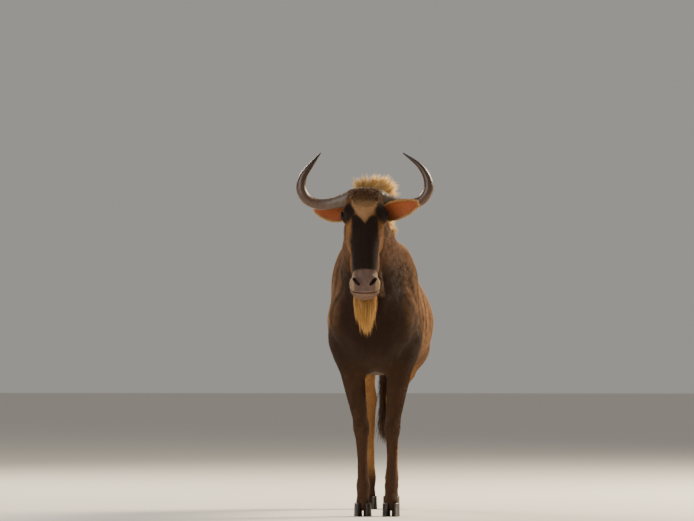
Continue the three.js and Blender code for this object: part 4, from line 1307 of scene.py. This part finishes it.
def makeHorn(side):
    line = [list(row) for row in hornPlan["line"]]
    line[-1][0] = hornPlan["tip"][side]
    row = smoothLine(line, hornPlan["rings"])
    local = columns(row[:, 0] * side, -row[:, 1], 0)
    middle = poll + local @ turnHead.T + columns(0, 0, row[:, 2])
    axis = unit(np.gradient(middle, axis=0))
    forward = asVector([0, -1, 0])
    front = unit(np.cross(axis, [0, 0, 1.0]) * 0.2 + forward - axis * (axis @ forward)[:, None])
    up = np.cross(axis, front)
    t = np.linspace(0, 1, hornPlan["rings"])
    turn = np.linspace(0, 2 * math.pi, hornPlan["sides"], endpoint=False)
    ring = front[:, None] * np.cos(turn)[None, :, None] + up[:, None] * np.sin(turn)[None, :, None]
    flat = (middle[:, None] + ring * row[:, 3][:, None, None]).reshape(-1, 3)
    rough, coarse = (softNoise(flat, size).reshape(len(t), -1) - 0.5 for size in (14, 34))
    far = t[:, None]
    # growth rings, weaker at the boss and gone from the smooth tip
    ribs = hornPlan["ribHeight"] * np.sin(far * 2 * math.pi * hornPlan["ribs"] + coarse * 5)
    ribs = ribs * ramp(0.62 - far, 0, 0.2) * ramp(far, 0.08, 0.2)
    boss = (0.16 * rough + 0.12 * coarse) * ramp(0.24 - far, 0, 0.14)
    rounded = np.sqrt(1 - (1 - np.clip(far / 0.06, 0.02, 1)) ** 2)
    radius = rounded * row[:, 3][:, None] * (1 + ribs + boss + 0.03 * rough)
    rings = middle[:, None] + ring * radius[:, :, None]
    obj = closedRings("horn" + sideNames[side], rings, hornMaterial)[0]
    giveAttribute(obj.data, "hornAlong", "FLOAT", np.concatenate([np.repeat(t, hornPlan["sides"]), [0, 1]]))
    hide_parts("horn_left" if side > 0 else "horn_right")


for side in (1, -1):
    makeHorn(side)
print("horns done")

# Ears: cupped leaves with rolled edges, warm and thin-haired inside
earPlan = {
    "length": 202, "half": 41, "thick": 5, "steps": 44, "strips": 18, "hairs": 900,
    "skin": ("#6f4a2c", "#8a5a36"), "inside": ("#93502f", "#5d3423"), "rim": "#c79a63",
}
ears = [
    {"name": "earLeft", "node": "ear_left", "side": 1, "lift": 15, "swing": 24},
    {"name": "earRight", "node": "ear_right", "side": -1, "lift": 8, "swing": -38},
]


def earFrame(ear):
    lift, swing, side = math.radians(ear["lift"]), math.radians(ear["swing"]), ear["side"]
    level = math.cos(lift)
    out = turnHead @ asVector([side * level * math.cos(swing), -level * math.sin(swing), math.sin(lift)])
    face = unit(turnHead @ asVector([side * 0.15, -1, -0.08]) - out * (out @ [0, -1, 0]))
    up = unit(np.cross(out, face)) * side
    return onHead(side * 66, 78, -56), out, face, up


def earPoint(ear, t, u):
    base, out, face, up = earFrame(ear)
    leaf = np.sin(math.pi * np.minimum(0.16 + 0.84 * t, 0.992)) ** 0.62
    half = earPlan["half"] * leaf
    roll = mix(0.95, 0.32, t**0.7)
    bend = u * roll * 1.35
    spread = np.sin(bend) / np.sin(roll * 1.35) * half
    depth = (1 - np.cos(bend)) * half / roll + 10 * t * t
    return base + outer(earPlan["length"] * t, out) + spread[:, None] * up + depth[:, None] * face


def makeEar(ear):
    face = earFrame(ear)[2]
    steps, strips = earPlan["steps"], earPlan["strips"]
    t = np.linspace(0, 1, steps)
    turn = np.linspace(0, 2 * math.pi, 2 * strips, endpoint=False)
    u, v = np.cos(turn), np.sin(turn)
    lip = 1 - 0.55 * np.abs(u) ** 3
    rings = []
    for at in t:
        middle = earPoint(ear, np.full(len(u), at), np.sign(u) * np.abs(u) ** 0.9)
        thin = earPlan["thick"] * mix(1.3, 0.6, at)
        rings.append(middle + outer(np.where(v > 0, 0.4, 1.0) * v * thin * lip, face))
    obj, points = closedRings(ear["name"], np.array(rings), hide)
    inner = np.concatenate([np.tile(ramp(v, -0.1, 0.25), steps), [0, 0]])
    far = np.concatenate([np.repeat(t, len(u)), [0, 1]])
    edge = np.maximum(np.concatenate([np.tile(np.abs(u), steps), [1, 1]]), ramp(far, 0.86, 1))
    skin, warm = ([linearColour(text) for text in earPlan[key]] for key in ("skin", "inside"))
    colour = mix(*skin, softNoise(points, 22)[:, None])
    warm = mix(*warm, ramp(0.45 - far, 0, 0.4)[:, None])
    colour = mix(colour, warm, (inner * ramp(0.86 - edge, 0, 0.2))[:, None])
    colour = mix(colour, linearColour(earPlan["rim"]), (ramp(edge, 0.78, 0.98) * 0.8)[:, None])
    giveAttribute(obj.data, "coatColour", "FLOAT_COLOR", colour)
    giveAttribute(obj.data, "bare", "FLOAT", inner * 0.25)
    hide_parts(ear["node"])


def earHair(draw, ear, count):
    out, face, up = earFrame(ear)[1:]
    inside = draw.random(count) < 0.18
    t = draw.uniform(0.12, 0.99, count)
    within = draw.uniform(-0.95, 0.95, count)
    rim = np.sign(draw.uniform(-1, 1, count)) * draw.uniform(0.9, 1.0, count)
    u = np.where(inside, within, rim)
    root = earPoint(ear, t, u)
    away = outer(np.where(inside, 0.25, 0.9) * np.sign(u), up)
    start = away + out * 0.9 + outer(np.where(inside, 0.5, 0.1), face)
    end = out + away * 0.5 + draw.normal(size=(count, 3)) * 0.15
    warm = mix(linearColour("#a8623f"), linearColour("#d9ad70"), np.where(inside, 0.1, 0.9)[:, None])
    length = np.where(inside, 16, 12) * draw.uniform(0.7, 1.2, count)
    colours = (warm * np.where(inside, 0.95, 0.7)[:, None], warm)
    return locks(root, start, end, np.tile(face, (count, 1)), length, (1.0, 0.5), colours)


for ear in ears:
    makeEar(ear)
    strands(
        ear["name"] + "Hair", coatHair,
        clumped(hairDraw, earHair(hairDraw, ear, earPlan["hairs"]), 3, 1.5, 0.5, 1), 2,
    )


# Eyes: dark brown, with a level oblong pupil, under a clear wet surface
def makeEyeMaterial():
    material, tree = newMaterial("wetEye")
    settings = {"Roughness": 0.1, "IOR": 1.376, "Specular IOR Level": 0.5}
    endMaterial(tree, settings, {"Base Color": attributeOf(tree, "eyeColour")["Color"]})
    return material


eyeMaterial = makeEyeMaterial()
eyeColours = {"white": "#2c1b13", "iris": ("#190b05", "#35190c"), "pupil": "#040303"}


def makeEye(side):
    out, length, high = lidFrame(side)
    middle, radius = eyeSpot(side), headPlace["eyeRadius"]
    polar = np.linspace(0.02, math.pi - 0.02, 40)
    turn = np.linspace(0, 2 * math.pi, 48, endpoint=False)
    bulge = 1 + 0.045 * swell(polar, 0, 0.5)
    ring = outer(np.cos(turn), length) + outer(np.sin(turn), high)
    forward = (np.cos(polar) * bulge)[:, None, None] * out * radius
    sideways = (np.sin(polar) * bulge)[:, None, None] * ring[None] * radius
    obj, points = closedRings("eye" + sideNames[side], middle + forward + sideways, eyeMaterial)
    q = (points - middle) / radius
    # the pupil lies level across the eye, seen from its side
    level = unit(np.cross([0, 0, 1.0], out))
    a, b = q @ level, q @ np.cross(out, level)
    pupil = ramp(1.15 - np.hypot(a / 0.42, b / 0.2), 0, 0.2) * (q @ out > 0)
    iris = ramp(0.72 - np.hypot(a, b), 0, 0.08)
    dark, light = (linearColour(text) for text in eyeColours["iris"])
    fleck = mix(dark, light, softNoise(points, 1.4)[:, None])
    colour = mix(linearColour(eyeColours["white"]), fleck, iris[:, None])
    colour = mix(colour, linearColour(eyeColours["pupil"]), pupil[:, None])
    giveAttribute(obj.data, "eyeColour", "FLOAT_COLOR", colour)
    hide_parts("eye_left" if side > 0 else "eye_right")


def lashes(draw, side, count):
    out, length, high = lidFrame(side)
    if high @ ahead < 0:
        high = -high
    t = draw.uniform(-0.9, 0.9, count)
    a, b = t * faceDetail["lidLong"], faceDetail["lidShort"] * (1 - t * t) + draw.uniform(0, 1.5, count)
    far = headPlace["eyeRadius"] + faceDetail["lidThick"]
    height = np.sqrt(far * far - a * a - b * b)
    root = eyeSpot(side) + outer(a, length) + outer(b, high) + outer(height, out)
    start = out + high * 0.2 + outer(t * 0.5, length)
    end = out * 0.8 - high * 0.5 + outer(t * 0.7, length)
    face = np.tile(high, (count, 1))
    return locks(root, start, end, face, draw.uniform(9, 14, count), (0.7, 0.5), ("#120b08", "#241811"))


for side in (1, -1):
    makeEye(side)
    strands(
        "lashes" + sideNames[side], coatHair,
        clumped(hairDraw, lashes(hairDraw, side, 90), 2, 0.5, 0.6, 1.5), 3,
    )


# Hooves: two dark toes a foot, each a blunt wedge flat on the ground
def makeHoofMaterial():
    material, tree = newMaterial("hoofKeratin")
    place = objectPlace(tree)
    # growth lines round the wall
    settings = {
        "bands_direction": "Z", "Scale": 40.0, "Distortion": 2.5, "Detail": 3.0, "Detail Scale": 2.0,
    }
    lines = addNode(tree, "ShaderNodeTexWave", settings, {"Vector": place}).outputs["Fac"]
    tone = addNode(
        tree, "ShaderNodeMix", {"data_type": "RGBA"}, {"Factor": noiseOf(tree, place, 90.0, 4.0)},
    )
    tone.inputs[6].default_value = (*linearColour("#0f0c0a"), 1)
    tone.inputs[7].default_value = (*linearColour("#33291f"), 1)
    links = {"Base Color": tone.outputs[2], "Normal": bumpOf(tree, lines, 0.3, 0.001)}
    endMaterial(tree, {"Roughness": 0.48, "IOR": 1.55}, links)
    return material


hoofMaterial = makeHoofMaterial()
hoofPlan = {
    "height": 62, "gap": 5, "sides": 40, "half": 19, "middle": 21, "toe": 52, "heel": 50, "point": 0.42,
    "levels": [0, 1.2, 4, 10, 18, 28, 38, 48, 56, 62], "grow": [12.5, 14, 13, 10, 7, 2, -3, -7, -10.5, -12],
}


def makeToe(name, node, footX, coronetY, side):
    turn = np.linspace(0, 2 * math.pi, hoofPlan["sides"], endpoint=False)
    long, wide = np.cos(turn), np.sin(turn)
    half = hoofPlan["half"]
    width = half * (1 - hoofPlan["point"] * np.maximum(0, -long) ** 3)
    x = footX + side * (hoofPlan["gap"] / 2 + np.maximum(0.001, half + wide * width))
    middle = footX + side * hoofPlan["middle"]
    rings = []
    for z, grow in zip(hoofPlan["levels"], hoofPlan["grow"]):
        length = np.where(long > 0, hoofPlan["heel"], hoofPlan["toe"] + grow)
        # the wall draws in upwards, and the sole's edge is broken
        shrink = 1 - 0.1 * z / hoofPlan["height"] - (0.05 if z == 0 else 0)
        y = coronetY - z * 0.35 + long * length * shrink - 4 + z * 0.28
        rings.append(columns(mix(middle, x, shrink), y, float(z)))
    obj = closedRings(name, np.array(rings), hoofMaterial)[0]
    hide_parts(node)


for end, coronetY in (("front", -34), ("hind", 960)):
    for part in ("left", "right"):
        for toe, side in (("left", 1), ("right", -1)):
            footX = legs[f"leg_{end}_{part}"]["foot"]
            makeToe(
                f"{end}{part.title()}{toe.title()}Toe", f"hoof_{end}_{part}_{toe}_toe", footX, coronetY,
                side,
            )
print("ears, eyes and hooves done")

# Floor, light and camera
floorMesh = bpy.data.meshes.new("floor")
floorMesh.from_pydata([(-40, -40, 0), (40, -40, 0), (40, 40, 0), (-40, 40, 0)], [], [(0, 1, 2, 3)])
floor = bpy.data.objects.new("floor", floorMesh)
bpy.context.scene.collection.objects.link(floor)
floorMaterial, floorTree = newMaterial("paleFloor")
endMaterial(floorTree, {"Base Color": (0.72, 0.69, 0.64, 1), "Roughness": 0.9})
floorMesh.materials.append(floorMaterial)

world = bpy.data.worlds.new("studio")
bpy.context.scene.world = world
world.use_nodes = True
background = world.node_tree.nodes["Background"].inputs
background["Color"].default_value = (0.80, 0.77, 0.72, 1)
background["Strength"].default_value = 0.42

cameraPlan = {
    "azimuth": 3.0, "elevation": 2.0, "distance": 27.0, "mmPerPixel": 4.6, "ground": (375, 516),
    "frame": (694, 521),
}


def addCamera(plan):
    a, e = math.radians(plan["azimuth"]), math.radians(plan["elevation"])
    right = Vector((math.cos(a), math.sin(a), 0))
    back = Vector((math.sin(a) * math.cos(e), -math.cos(a) * math.cos(e), math.sin(e)))
    up = back.cross(right)
    anchor = Vector(placed([0, 0, 0]))
    scale = plan["mmPerPixel"] / 1000
    width, height = plan["frame"]
    target = anchor + right * (width / 2 - plan["ground"][0]) * scale
    target = target + up * (plan["ground"][1] - height / 2) * scale
    data = bpy.data.cameras.new("camera")
    camera = bpy.data.objects.new("camera", data)
    bpy.context.scene.collection.objects.link(camera)
    camera.location = anchor + back * plan["distance"]
    camera.rotation_euler = (target - camera.location).to_track_quat("-Z", "Y").to_euler()
    data.sensor_width = 36
    data.lens = 36 * plan["distance"] / (width * scale)
    data.clip_end = 200
    bpy.context.scene.camera = camera


addCamera(cameraPlan)

lights = [
    {"name": "key", "place": (5.5, 3.5, 5.0), "size": 3.0, "power": 1700, "colour": (1.0, 0.84, 0.62)},
    {"name": "fill", "place": (-4.5, -6.0, 3.5), "size": 5.0, "power": 340, "colour": (0.98, 0.97, 0.95)},
    {"name": "rim", "place": (-4.0, 5.0, 4.5), "size": 2.5, "power": 420, "colour": (1.0, 0.88, 0.7)},
]
for plan in lights:
    data = bpy.data.lights.new(plan["name"], "AREA")
    data.size = plan["size"]
    data.energy = plan["power"]
    data.color = plan["colour"]
    lamp = bpy.data.objects.new(plan["name"], data)
    bpy.context.scene.collection.objects.link(lamp)
    lamp.location = plan["place"]
    lamp.rotation_euler = (Vector((0, 0, 0.9)) - lamp.location).to_track_quat("-Z", "Y").to_euler()
